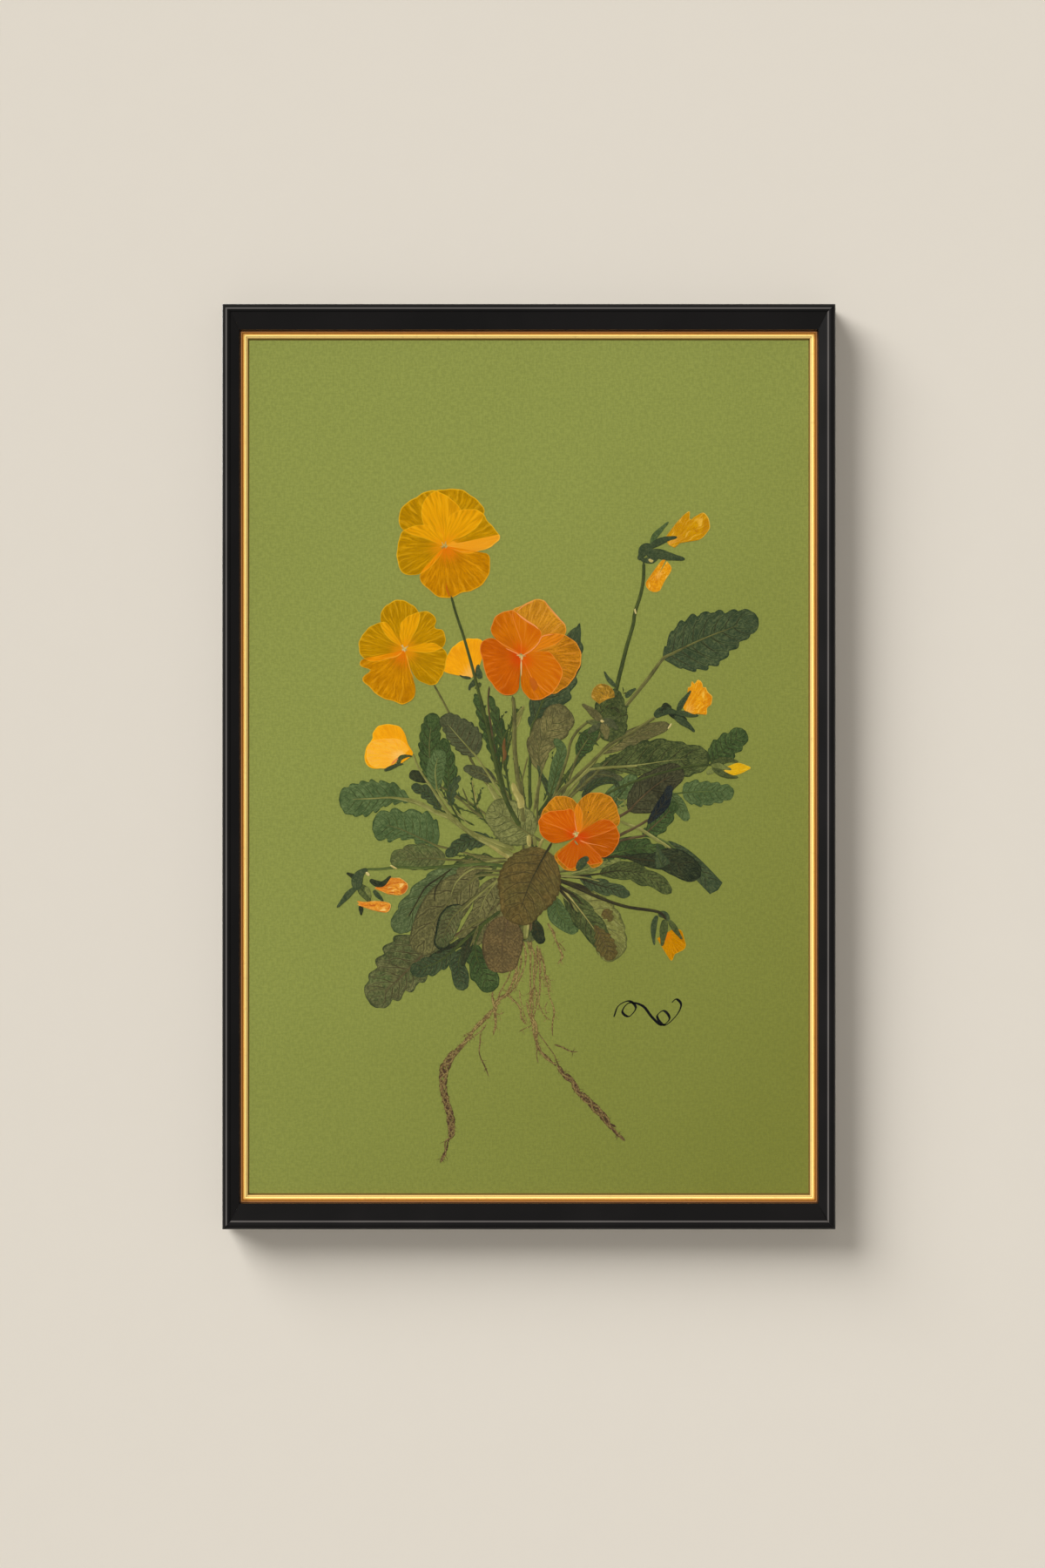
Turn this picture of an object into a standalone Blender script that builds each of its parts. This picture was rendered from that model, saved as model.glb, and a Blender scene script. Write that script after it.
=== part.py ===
"""A pressed pansy plant in a glazed wall frame.

+X is right, +Z is up and the front faces -Y. The wall is the plane y = 0 and the
origin is the nail: the frame hangs on it by the notch in the middle of its sawtooth
hanger. Sizes are in millimetres. Places on the plant are measured from the middle of
the frame, as (right, up).
"""
import math

import bmesh
import bpy
from mathutils import Vector

MM = 0.001

# --- Driving dimensions -------------------------------------------------------
FRAME_WIDTH = 316.5
FRAME_HEIGHT = 477.5
FRAME_DEPTH = 20.0
NAIL_DROP = 23.0            # from the frame's top edge down to the nail
FACE_SIDE = 8.9             # visible black face of the side rails
FACE_END = 13.3             # visible black face of the top and bottom rails
LEDGE = 3.9                 # how far the rails' lip covers the glass
FIT = 0.75                  # slack round everything that drops into the rebate
GAP = 0.3                   # clearance between touching pieces
SLIP_SHOWING = 4.3          # width of the gilt slip inside the black face

BEAD_RADIUS = 2.25          # half-round moulding along the outer edge
BEAD_STEPS = 8
SLOPE_TOP = 18.8            # depth where the rail's slope leaves the bead
SLOPE_FOOT = 17.6           # depth of the rail's sight edge

GLASS = 2.0
SLIP_DEPTH = 4.7
CARD = 1.5
BOARD = 2.5

LAYER_PITCH = 0.6           # the pressed pieces lie in layers on the card
PRESSED = 0.3               # thickness of one pressed piece
STEM_LAYERS = 4             # the stem is as thick as this many layers
STALK = 0.8                 # half width of a stalk or petiole
CURVE_STEPS = 3             # points on each stretch of a smoothed outline

POINT_WIDTH = 9.0           # steel points that hold the board in
POINT_LENGTH = 12.0
POINT_BITE = 3.0
POINT_SHEET = 0.5
POINT_SPREAD = 80.0

HANGER_HALF = 23.0
HANGER_RISE = 8.0           # height of the strip above the nail
HANGER_SHEET = 0.8
HANGER_LIFT = 1.2           # how far its middle stands off its ends
TOOTH = 1.2
TOOTH_COUNT = 9
PIN_X = 19.0
PIN_Z = 4.5
PIN_RADIUS = 0.6
PIN_HEAD_RADIUS = 1.9
PIN_HEAD = 0.6
PIN_DEPTH = 1.8             # how far the pin goes into the board

# --- Worked out from them ------------------------------------------------------
CENTRE = NAIL_DROP - FRAME_HEIGHT / 2
REBATE_SIDE = FACE_SIDE - LEDGE
REBATE_END = FACE_END - LEDGE
FILL_WIDTH = FRAME_WIDTH - 2 * (REBATE_SIDE + FIT)
FILL_HEIGHT = FRAME_HEIGHT - 2 * (REBATE_END + FIT)
SLIP_WIDTH = LEDGE - FIT + SLIP_SHOWING
BEAD_FOOT = BEAD_RADIUS + math.sqrt(
    BEAD_RADIUS ** 2 - (SLOPE_TOP - FRAME_DEPTH + BEAD_RADIUS) ** 2
)
BOARD_BACK = 3.4
BOARD_FRONT = BOARD_BACK + BOARD
CARD_BACK = BOARD_FRONT + GAP
CARD_FRONT = CARD_BACK + CARD
SLIP_BACK = CARD_FRONT + GAP
SLIP_FRONT = SLIP_BACK + SLIP_DEPTH
GLASS_BACK = SLIP_FRONT + GAP
GLASS_FRONT = GLASS_BACK + GLASS
LEDGE_BACK = GLASS_FRONT + GAP
MITRE_GAP = 0.22            # taken off each bar along its length, 0.3 across the joint

# --- Finishes: colour, roughness, metallic -------------------------------------
BLACK = ((0.012, 0.011, 0.010), 0.35, 0.0)
GOLD = ((0.72, 0.42, 0.13), 0.32, 1.0)
CLEAR = ((0.92, 0.95, 0.93), 0.05, 0.0)
GREEN_CARD = ((0.25, 0.29, 0.06), 0.9, 0.0)
BROWN_BOARD = ((0.27, 0.17, 0.09), 0.85, 0.0)
STEEL = ((0.55, 0.55, 0.53), 0.4, 1.0)
YELLOW = ((0.78, 0.34, 0.01), 0.7, 0.0)
ORANGE = ((0.72, 0.16, 0.01), 0.7, 0.0)
LEAF_GREEN = ((0.075, 0.12, 0.03), 0.8, 0.0)
LEAF_OLIVE = ((0.13, 0.13, 0.05), 0.8, 0.0)
LEAF_BROWN = ((0.11, 0.075, 0.035), 0.8, 0.0)
LEAF_DARK = ((0.025, 0.045, 0.025), 0.8, 0.0)
ROOT_TAN = ((0.26, 0.17, 0.08), 0.85, 0.0)


# --- Collections, objects and finishes -------------------------------------------
def clear_scene():
    for old in list(bpy.data.objects):
        bpy.data.objects.remove(old, do_unlink=True)


def new_collection(name):
    group = bpy.data.collections.new(name)
    bpy.context.scene.collection.children.link(group)
    return group


clear_scene()
PIECES = new_collection("pressed_flower_frame")
CUTTERS = new_collection("cutters")


def give_finish(piece, finish):
    colour, roughness, metallic = finish
    material = bpy.data.materials.new(piece.name)
    material.use_nodes = True
    shader = material.node_tree.nodes["Principled BSDF"]
    shader.inputs["Base Color"].default_value = (*colour, 1.0)
    shader.inputs["Roughness"].default_value = roughness
    shader.inputs["Metallic"].default_value = metallic
    piece.data.materials.append(material)


def add_mesh(name, bm, finish):
    """An object of the finished bmesh, among the pieces, or among the cutters if it has no finish."""
    bm.normal_update()
    bmesh.ops.recalc_face_normals(bm, faces=bm.faces)
    mesh = bpy.data.meshes.new(name)
    bm.to_mesh(mesh)
    bm.free()
    piece = bpy.data.objects.new(name, mesh)
    if finish is None:
        CUTTERS.objects.link(piece)
        piece.hide_render = True
        piece.display_type = "WIRE"
    else:
        PIECES.objects.link(piece)
        give_finish(piece, finish)
    return piece


def cut(piece, cutter):
    boolean = piece.modifiers.new("cut " + cutter.name, "BOOLEAN")
    boolean.operation = "DIFFERENCE"
    boolean.solver = "EXACT"
    boolean.object = cutter


def box(name, low, high, finish):
    """A box between two corners, in millimetres from the nail."""
    bm = bmesh.new()
    bmesh.ops.create_cube(bm, size=MM)
    size = [b - a for a, b in zip(low, high)]
    middle = [(a + b) / 2 * MM for a, b in zip(low, high)]
    bmesh.ops.scale(bm, vec=size, verts=bm.verts)
    bmesh.ops.translate(bm, vec=middle, verts=bm.verts)
    return add_mesh(name, bm, finish)


# --- The black rails and the gilt slips ---------------------------------------------
def mitred_bar(name, turn, across, along, profile, seam, crease, finish):
    """A bar along one side of a rectangle, with ends cut to meet its neighbours.

    The profile lists (inset, depth) round the bar's section, inset from the outer
    edge at distance `across` from the middle. `seam` gives how far the end is cut
    back at an inset. `crease` names two profile points joined by an edge where the
    seam changes direction.
    """
    bm = bmesh.new()
    ring = [bm.verts.new((0, -depth * MM, (across - inset) * MM)) for inset, depth in profile]
    bm.faces.new(ring)
    if crease:
        bmesh.ops.connect_vert_pair(bm, verts=[ring[index] for index in crease])
    grown = bmesh.ops.extrude_face_region(bm, geom=bm.faces[:])
    far_end = {item for item in grown["geom"] if isinstance(item, bmesh.types.BMVert)}
    for vert in bm.verts:
        reach = (along - seam(across - vert.co.z / MM) - MITRE_GAP) * MM
        vert.co.x = reach if vert in far_end else -reach
    bar = add_mesh(name, bm, finish)
    bar.rotation_euler = (0, math.radians(turn), 0)
    bar.location = (0, 0, CENTRE * MM)
    return bar


def rail_profile(face, rebate):
    """Back, outer side, half-round bead, slope, lip and rebate of a black rail."""
    crown = FRAME_DEPTH - BEAD_RADIUS
    foot_angle = math.asin((SLOPE_TOP - crown) / BEAD_RADIUS)
    sweep = math.pi - foot_angle
    points = [(0, 0)]
    for step in range(BEAD_STEPS + 1):
        angle = math.pi - sweep * step / BEAD_STEPS
        points.append((
            BEAD_RADIUS + BEAD_RADIUS * math.cos(angle),
            crown + BEAD_RADIUS * math.sin(angle),
        ))
    bead_end = len(points) - 1
    points += [(face, SLOPE_FOOT), (face, LEDGE_BACK), (rebate, LEDGE_BACK), (rebate, 0)]
    points.append((BEAD_FOOT, 0))
    return points, (bead_end, len(points) - 1)


def slip_profile():
    """The gilt slip: flat under the lip, a hollow, a bead and a sloped inner edge."""
    covered = LEDGE - FIT
    return [
        (0, SLIP_BACK),
        (0, SLIP_FRONT),
        (covered - 1.0, SLIP_FRONT),
        (covered + 0.2, SLIP_FRONT - 1.0),
        (covered + 1.3, SLIP_FRONT - 0.8),
        (covered + 1.8, SLIP_FRONT - 0.2),
        (covered + 2.4, SLIP_FRONT),
        (covered + 3.0, SLIP_FRONT - 0.2),
        (covered + 3.5, SLIP_FRONT - 1.0),
        (SLIP_WIDTH, SLIP_BACK),
    ]


def rail_seam(own_face, other_face):
    """At 45 degrees through the bead, then on to the inner corner of unequal faces."""
    slope = (other_face - BEAD_FOOT) / (own_face - BEAD_FOOT)

    def seam(inset):
        return inset if inset <= BEAD_FOOT else BEAD_FOOT + (inset - BEAD_FOOT) * slope

    return seam


SIDES = [
    # name, turn, is it a top or bottom side
    ("top", 0, True),
    ("right", 90, False),
    ("bottom", 180, True),
    ("left", 270, False),
]


def build_rails_and_slips():
    rails = {}
    for side, turn, level in SIDES:
        face, other = (FACE_END, FACE_SIDE) if level else (FACE_SIDE, FACE_END)
        rebate = face - LEDGE
        across, along = FRAME_HEIGHT / 2, FRAME_WIDTH / 2
        fill_across, fill_along = FILL_HEIGHT / 2, FILL_WIDTH / 2
        if not level:
            across, along = along, across
            fill_across, fill_along = fill_along, fill_across
        profile, crease = rail_profile(face, rebate)
        rails[side] = mitred_bar(
            "rail_" + side, turn, across, along, profile, rail_seam(face, other), crease, BLACK
        )
        mitred_bar(
            "slip_" + side, turn, fill_across, fill_along, slip_profile(),
            lambda inset: inset, None, GOLD,
        )
    return rails


# --- What fills the rebate ------------------------------------------------------------
def filling(name, back, front, finish):
    return box(
        name,
        (-FILL_WIDTH / 2, -front, CENTRE - FILL_HEIGHT / 2),
        (FILL_WIDTH / 2, -back, CENTRE + FILL_HEIGHT / 2),
        finish,
    )


def build_points(rails):
    """Steel points pushed into slots in the rebate, flat on the back of the board."""
    back = BOARD_BACK - GAP - POINT_SHEET
    half_width = POINT_WIDTH / 2
    places = [
        ("top", -POINT_SPREAD), ("top", POINT_SPREAD), ("right", 0),
        ("bottom", -POINT_SPREAD), ("bottom", POINT_SPREAD), ("left", 0),
    ]
    for number, (side, along) in enumerate(places, 1):
        level = side in ("top", "bottom")
        outward = 1 if side in ("top", "right") else -1
        wall = FRAME_HEIGHT / 2 - REBATE_END if level else FRAME_WIDTH / 2 - REBATE_SIDE
        tab = (wall + POINT_BITE - POINT_LENGTH, wall + POINT_BITE)
        slot = (wall - 1.0, wall + POINT_BITE + GAP)
        for name, span, slack, finish in [
            (f"framer_point_{number}", tab, 0, STEEL),
            (f"slot_{number}", slot, GAP, None),
        ]:
            near, far = sorted(outward * edge for edge in span)
            cross = (along - half_width - slack, along + half_width + slack)
            depth = (-(back + POINT_SHEET + slack), -(back - slack))
            if level:
                low = (cross[0], depth[0], CENTRE + near)
                high = (cross[1], depth[1], CENTRE + far)
            else:
                low = (near, depth[0], CENTRE + cross[0])
                high = (far, depth[1], CENTRE + cross[1])
            made = box(name, low, high, finish)
            if finish is None:
                cut(rails[side], made)


def cylinder(bm, radius, back, front, x, z, sides=16):
    made = bmesh.ops.create_cone(
        bm, cap_ends=True, segments=sides, radius1=radius * MM, radius2=radius * MM,
        depth=(front - back) * MM,
    )
    for vert in made["verts"]:
        vert.co = Vector((vert.co.x, vert.co.z, vert.co.y))
        vert.co += Vector((x, -(front + back) / 2, z)) * MM


def build_hanger(board):
    """A bent sawtooth strip pinned to the board, its middle notch on the nail."""
    seat = BOARD_BACK - GAP
    bm = bmesh.new()
    bmesh.ops.create_grid(bm, x_segments=8, y_segments=1, size=0.5)
    bends = [-HANGER_HALF, -16.0, -14.0, -7.0, 0, 7.0, 14.0, 16.0, HANGER_HALF]
    for vert in bm.verts:
        x = bends[round((vert.co.x + 0.5) * 8)]
        lift = HANGER_LIFT if abs(x) <= 14.0 else 0
        z = HANGER_RISE if vert.co.y > 0 else -TOOTH
        vert.co = Vector((x, lift - seat, z)) * MM
    grown = bmesh.ops.extrude_face_region(bm, geom=bm.faces[:])
    moved = [item for item in grown["geom"] if isinstance(item, bmesh.types.BMVert)]
    bmesh.ops.translate(bm, vec=(0, HANGER_SHEET * MM, 0), verts=moved)
    hanger = add_mesh("sawtooth_hanger", bm, STEEL)

    bm = bmesh.new()
    for number in range(TOOTH_COUNT):
        middle = (number - (TOOTH_COUNT - 1) / 2) * TOOTH * 2
        made = bmesh.ops.create_cone(
            bm, cap_ends=True, segments=4, radius1=TOOTH * MM, radius2=TOOTH * MM, depth=6 * MM
        )
        for vert in made["verts"]:
            vert.co = Vector((vert.co.x * 0.95, vert.co.z, vert.co.y))
            vert.co += Vector((middle, -2.0, -TOOTH)) * MM
    cut(hanger, add_mesh("tooth_notches", bm, None))

    for side, x in (("left", -PIN_X), ("right", PIN_X)):
        top = seat - HANGER_SHEET - GAP
        bm = bmesh.new()
        cylinder(bm, PIN_HEAD_RADIUS, top - PIN_HEAD, top, x, PIN_Z)
        head = add_mesh("hanger_pin_" + side, bm, STEEL)
        bm = bmesh.new()
        cylinder(bm, PIN_RADIUS, top - PIN_HEAD / 2, BOARD_BACK + PIN_DEPTH, x, PIN_Z)
        shank = add_mesh("pin_shank_" + side, bm, None)
        union = head.modifiers.new("shank", "BOOLEAN")
        union.operation = "UNION"
        union.solver = "EXACT"
        union.object = shank
        bm = bmesh.new()
        cylinder(bm, PIN_RADIUS + GAP, 0, BOARD_BACK + PIN_DEPTH + GAP, x, PIN_Z)
        hole = add_mesh("pin_hole_" + side, bm, None)
        cut(board, hole)
        cut(hanger, hole)


# --- The pressed plant --------------------------------------------------------------------
def smooth(points, steps=CURVE_STEPS):
    """Points on a soft curve through the given ones, `steps` to each stretch."""
    ends = [points[0]] + list(points) + [points[-1]]
    result = []
    for a, b, c, d in zip(ends, ends[1:], ends[2:], ends[3:]):
        for step in range(steps):
            t = step / steps
            weights = (
                -0.5 * t + t ** 2 - 0.5 * t ** 3,
                1 - 2.5 * t ** 2 + 1.5 * t ** 3,
                0.5 * t + 2 * t ** 2 - 1.5 * t ** 3,
                -0.5 * t ** 2 + 0.5 * t ** 3,
            )
            result.append(tuple(
                sum(w * p[axis] for w, p in zip(weights, (a, b, c, d))) for axis in (0, 1)
            ))
    return result + [tuple(points[-1])]


def banks(line, half_widths):
    """The two edges of a band that follows `line`, left and right of its direction."""
    left, right = [], []
    for index, (x, z) in enumerate(line):
        before = line[max(index - 1, 0)]
        after = line[min(index + 1, len(line) - 1)]
        run = Vector((after[0] - before[0], after[1] - before[1])).normalized()
        half = half_widths[index]
        left.append((x - run.y * half, z + run.x * half))
        right.append((x + run.y * half, z - run.x * half))
    return left, right


def plate(name, outline, layer, finish, layers=1):
    """A flat piece that lies on the card, or on the layers below it."""
    back = SLIP_BACK + layer * LAYER_PITCH
    front = back + (layers - 1) * LAYER_PITCH + PRESSED
    curve = bpy.data.curves.new(name, "CURVE")
    curve.dimensions = "2D"
    curve.fill_mode = "BOTH"
    curve.extrude = (front - back) / 2 * MM
    spline = curve.splines.new("POLY")
    spline.points.add(len(outline) - 1)
    for point, (x, z) in zip(spline.points, outline):
        point.co = (x * MM, z * MM, 0, 1)
    spline.use_cyclic_u = True
    piece = bpy.data.objects.new(name, curve)
    PIECES.objects.link(piece)
    piece.rotation_euler = (math.radians(90), 0, 0)
    piece.location = (0, -(front + back) / 2 * MM, CENTRE * MM)
    give_finish(piece, finish)


def flower(name, route, head, layer, finish):
    """A flower or bud on its stalk: up one side of the stalk, round the head and back."""
    line = smooth(route)
    left, right = banks(line, [STALK] * len(line))
    plate(name, left + smooth(head) + right[::-1], layer, finish)


def leaf(name, route, blade_from, width, layer, finish):
    """A leaf on its petiole, from the stem to the tip."""
    line = smooth(route)
    first = blade_from * CURVE_STEPS
    widths = []
    for index in range(len(line)):
        along = max(0.0, (index - first) / (len(line) - 1 - first))
        swell = math.sin(math.pi * along ** 0.85) ** 0.8 if along < 1 else 0
        widths.append(max(STALK * (1 - 0.6 * along), width / 2 * swell))
    left, right = banks(line[:-1], widths)
    plate(name, left + [line[-1]] + right[::-1], layer, finish)


def strand(name, route, half_widths, layer, finish, layers=1):
    """A root or stem whose half width changes evenly between the places on its route."""
    line = smooth(route)
    widths = []
    for thin, thick in zip(half_widths, half_widths[1:]):
        widths += [thin + (thick - thin) * step / CURVE_STEPS for step in range(CURVE_STEPS)]
    left, right = banks(line, widths + [half_widths[-1]])
    plate(name, left + right[::-1], layer, finish, layers)


FLOWERS = [
    # name, layer, finish, stalk from the stem to the head, outline of the head clockwise
    ("flower_yellow_top", 0, YELLOW,
     [(-6, -24), (-16, 0), (-23, 22.5), (-28, 45), (-34, 67), (-40, 88)],
     [(-44, 86), (-53, 92), (-58, 99), (-68, 104), (-68, 115), (-67, 127), (-62, 138), (-48, 143),
      (-39, 144), (-28, 140), (-21, 130), (-15.5, 120), (-20, 108), (-23, 95), (-32, 90)]),
    ("flower_yellow_left", 2, YELLOW,
     [(-5.5, -30), (-17, -16), (-28, 0), (-37.5, 20), (-44, 33), (-49, 42)],
     [(-58, 41), (-64, 33), (-75, 36), (-86, 42), (-87.5, 51), (-88.5, 64), (-82, 73), (-76, 81),
      (-67, 86), (-57, 82), (-51, 79.5), (-44.5, 71), (-42, 60), (-42.5, 51), (-46, 43)]),
    ("flower_yellow_folded", 1, YELLOW,
     [(-9, -22), (-16, 11), (-20, 29), (-21.5, 41)],
     [(-26.5, 40.5), (-35, 46), (-48, 50), (-41, 58), (-35, 65), (-23.5, 65), (-20.5, 53), (-19, 43)]),
    ("flower_orange_centre", 4, ORANGE,
     [(-2.5, -23), (-6.5, -7), (-8, 13), (-8.5, 35)],
     [(-10, 37), (-17, 40), (-23, 50), (-25, 62), (-20, 69), (-14, 79), (-3, 81), (6, 86),
      (14, 78), (22, 65), (27, 55), (24, 45), (15, 38), (2, 34.5), (-6.5, 36)]),
    ("flower_orange_low", 7, ORANGE,
     [(4, -64), (12, -56), (17, -51)],
     [(14, -45), (7.5, -37), (5.5, -27), (9.5, -19), (18.5, -14.5), (26, -17), (36, -13),
      (44, -18), (46.5, -27), (46.5, -37), (40.5, -45), (38, -49.5), (25, -53), (20, -52)]),
    ("flower_yellow_side", 5, YELLOW,
     [(-5, -48), (-35, -30.5), (-47.5, -16), (-55, -4.5), (-59.5, 3)],
     [(-64, 0), (-73, -2), (-82, 0), (-85, 10), (-80, 21), (-70, 22.5), (-63, 16), (-59, 7)]),
    ("bud_top_right", 1, YELLOW,
     [(3.4, -25), (14.5, -11.5), (32.5, 13.5), (45.5, 42), (52.5, 67), (59, 88)],
     [(58, 96), (58, 112), (64, 120), (71, 127), (77, 123), (83, 133), (92, 131), (93, 123),
      (86, 117), (80, 108), (73, 105), (72.5, 99), (66, 91), (61.5, 94)]),
    ("bud_mid_right", 3, YELLOW,
     [(3.6, -34), (26, -2.5), (41.5, 11), (57.5, 21), (64, 25)],
     [(66, 30), (73, 33), (83, 39), (84.5, 44.5), (91, 43), (95, 35), (90, 26), (86, 18),
      (75, 19), (67, 22.5)]),
    ("bud_centre", 4, LEAF_GREEN,
     [(3.6, -29), (12.5, -4.5), (19, 11), (27, 22), (32, 23)],
     [(31, 27), (28, 34), (33, 41), (39, 49.5), (45, 41), (50.5, 29), (47, 19), (44, 13.5),
      (36, 19)]),
    ("bud_far_right", 4, YELLOW,
     [(3.6, -40.5), (14.5, -38), (41, -31), (68, -16), (86, -4.5), (96, -0.5), (103, -1)],
     [(104.5, 0.5), (112, 1.5), (113.5, -1.5), (108.5, -4.5), (104, -2.5)]),
    ("bud_left", 4, ORANGE,
     [(-5, -51), (-39, -50), (-71, -52.5), (-82, -53)],
     [(-80.5, -56), (-79, -59.5), (-71, -57.5), (-62.5, -61), (-65, -66), (-76, -68.5),
      (-71.5, -70.5), (-72.5, -75.5), (-82, -74.5), (-87.5, -76.5), (-90.5, -70.5), (-99, -73),
      (-90.5, -63), (-94.5, -55), (-88, -52)]),
    ("bud_low_right", 4, ORANGE,
     [(3.6, -54), (19, -58.5), (37, -67.5), (50, -72), (64, -74), (67, -75.5)],
     [(72, -77), (80, -87), (81.5, -93.5), (76, -96), (74, -101), (68, -94.5), (64, -91),
      (64.5, -79)]),
]

LEAVES = [
    # name, layer, finish, route from the stem to the tip, where the blade starts, width
    ("leaf_upper_right", 0, LEAF_GREEN,
     [(3.6, -31), (19, -2.5), (37, 18), (51.5, 33), (68.5, 51.5), (93, 66), (118, 78)], 4, 29),
    ("leaf_behind_orange", 1, LEAF_GREEN, [(0.5, -23), (1, 9), (8, 27), (19, 49), (27, 74)], 1, 26),
    ("leaf_upright_left", 3, LEAF_GREEN,
     [(-5, -36), (-30, -20.5), (-49, -7), (-51, 11), (-50.5, 28)], 2, 10.5),
    ("leaf_grey", 3, LEAF_OLIVE, [(-5.5, -28), (-14.5, -11.5), (-23, 2), (-33, 15), (-45, 25)], 2, 19),
    ("leaf_far_left", 4, LEAF_GREEN,
     [(-5, -42), (-28, -35), (-48, -22.5), (-62, -15.5), (-80, -14.5), (-98, -18)], 3, 17),
    ("leaf_left", 2, LEAF_GREEN, [(-5, -46), (-30, -43.5), (-46, -39), (-64, -34), (-80, -28)], 2, 16),
    ("leaf_olive_brown", 3, LEAF_BROWN, [(3, -22.5), (5, -4.5), (9.5, 13.5), (17, 31)], 1, 18),
    ("leaf_long_right", 2, LEAF_OLIVE, [(3.6, -36), (19, -11.5), (32, -1), (62, 3), (93, 3.5)], 2, 24),
    ("leaf_purple", 5, LEAF_BROWN, [(3.6, -44), (32, -34), (48, -23), (64, -11.5), (81, -2.5)], 2, 22),
    ("leaf_far_right", 1, LEAF_GREEN,
     [(3.6, -38), (37, -11.5), (68, -2.5), (90, 3.5), (102, 10), (112, 17)], 3, 14),
    ("leaf_small_right", 2, LEAF_GREEN,
     [(3.6, -42), (41, -22.5), (79, -13.5), (93, -12.5), (107, -13)], 2, 13),
    ("leaf_round_olive", 5, LEAF_OLIVE, [(8, -38.5), (-8, -30.5), (-25, -22.5)], 0, 26),
    ("leaf_brown", 6, LEAF_BROWN, [(10, -39.5), (2, -58.5), (-8, -84)], 0, 33),
    ("leaf_brown_low", 4, LEAF_BROWN, [(-5, -78), (-8, -83), (-14.5, -94.5), (-16, -107)], 0, 21),
    ("leaf_bottom_left", 0, LEAF_GREEN,
     [(-5, -74.5), (-21, -79), (-45, -92), (-64, -108), (-82, -122)], 2, 31),
    ("leaf_lower_left", 1, LEAF_GREEN,
     [(-5, -56.5), (-26, -55.5), (-44, -54), (-59, -70), (-72, -85)], 2, 20),
    ("leaf_taupe", 2, LEAF_BROWN, [(-5, -62), (-21, -61), (-35, -62), (-50, -78), (-58, -97)], 1, 28),
    ("leaf_dark_tuft", 1, LEAF_DARK,
     [(-5, -80), (-17, -81), (-26, -87), (-25, -101), (-22, -117)], 2, 30),
    ("leaf_small_green", 3, LEAF_GREEN,
     [(-5, -77), (-20, -82), (-38, -94.5), (-50, -100), (-61, -103)], 2, 14),
    ("leaf_folded_dark", 3, LEAF_DARK,
     [(3.6, -49.5), (32, -48), (48, -45), (66, -47.5), (86, -60)], 2, 22),
    ("leaf_cut_strip", 0, LEAF_GREEN,
     [(3.6, -46), (50, -38.5), (68, -38), (82, -41), (91, -51), (99.5, -61)], 2, 11),
    ("leaf_low_right", 2, LEAF_OLIVE,
     [(3.6, -57.5), (23, -57), (37, -58), (52, -62), (73, -66)], 1, 20),
    ("leaf_papery", 1, LEAF_OLIVE, [(3.6, -62), (14, -60), (24, -65), (35, -83), (43, -100)], 2, 28),
    ("leaf_low_green", 0, LEAF_GREEN, [(3.6, -74), (8, -71), (14.5, -74), (21.5, -86)], 1, 17),
]

ROOTS = [
    # name, layer, route from the stem down, half width at each place on the route
    ("root_left", 0,
     [(-5, -92), (-5, -103), (-12, -117), (-18.5, -126), (-30, -139), (-41, -153), (-44, -166),
      (-41, -184), (-44, -200)],
     [0.9, 0.9, 0.9, 1.2, 1.0, 1.4, 2.0, 2.0, 0.4]),
    ("root_right", 0,
     [(-0.5, -92), (2.5, -108), (1.5, -126), (5, -146), (19, -160), (35, -180), (50, -194)],
     [0.9, 0.6, 0.9, 1.2, 1.0, 1.9, 0.4]),
    ("root_fine", 0, [(4, -92), (7, -103), (11, -117), (13, -128), (12.5, -139)],
     [0.5, 0.5, 0.5, 0.5, 0.3]),
]


def build_plant():
    strand("stem", [(-1, -26), (-0.5, -45), (-0.5, -63), (-1.5, -89)], [1.8, 2.2, 2.2, 1.8],
           0, LEAF_OLIVE, STEM_LAYERS)
    for name, layer, finish, route, head in FLOWERS:
        flower(name, route, head, layer, finish)
    for name, layer, finish, route, blade_from, width in LEAVES:
        leaf(name, route, blade_from, width, layer, finish)
    for name, layer, route, half_widths in ROOTS:
        strand(name, route, half_widths, layer, ROOT_TAN)


def build():
    rails = build_rails_and_slips()
    filling("glazing", GLASS_BACK, GLASS_FRONT, CLEAR)
    filling("mount_card", CARD_BACK, CARD_FRONT, GREEN_CARD)
    board = filling("backing_board", BOARD_BACK, BOARD_FRONT, BROWN_BOARD)
    build_points(rails)
    build_hanger(board)
    build_plant()


build()
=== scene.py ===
"""The finished look of a pressed pansy plant in its glazed wall frame.

+X is right, +Z is up and the front faces -Y. Scene units are metres. Places on the card are
in millimetres from the middle of the frame, as (right, up), and lifts are in millimetres
above the card's face.
"""
import math
import random

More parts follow.
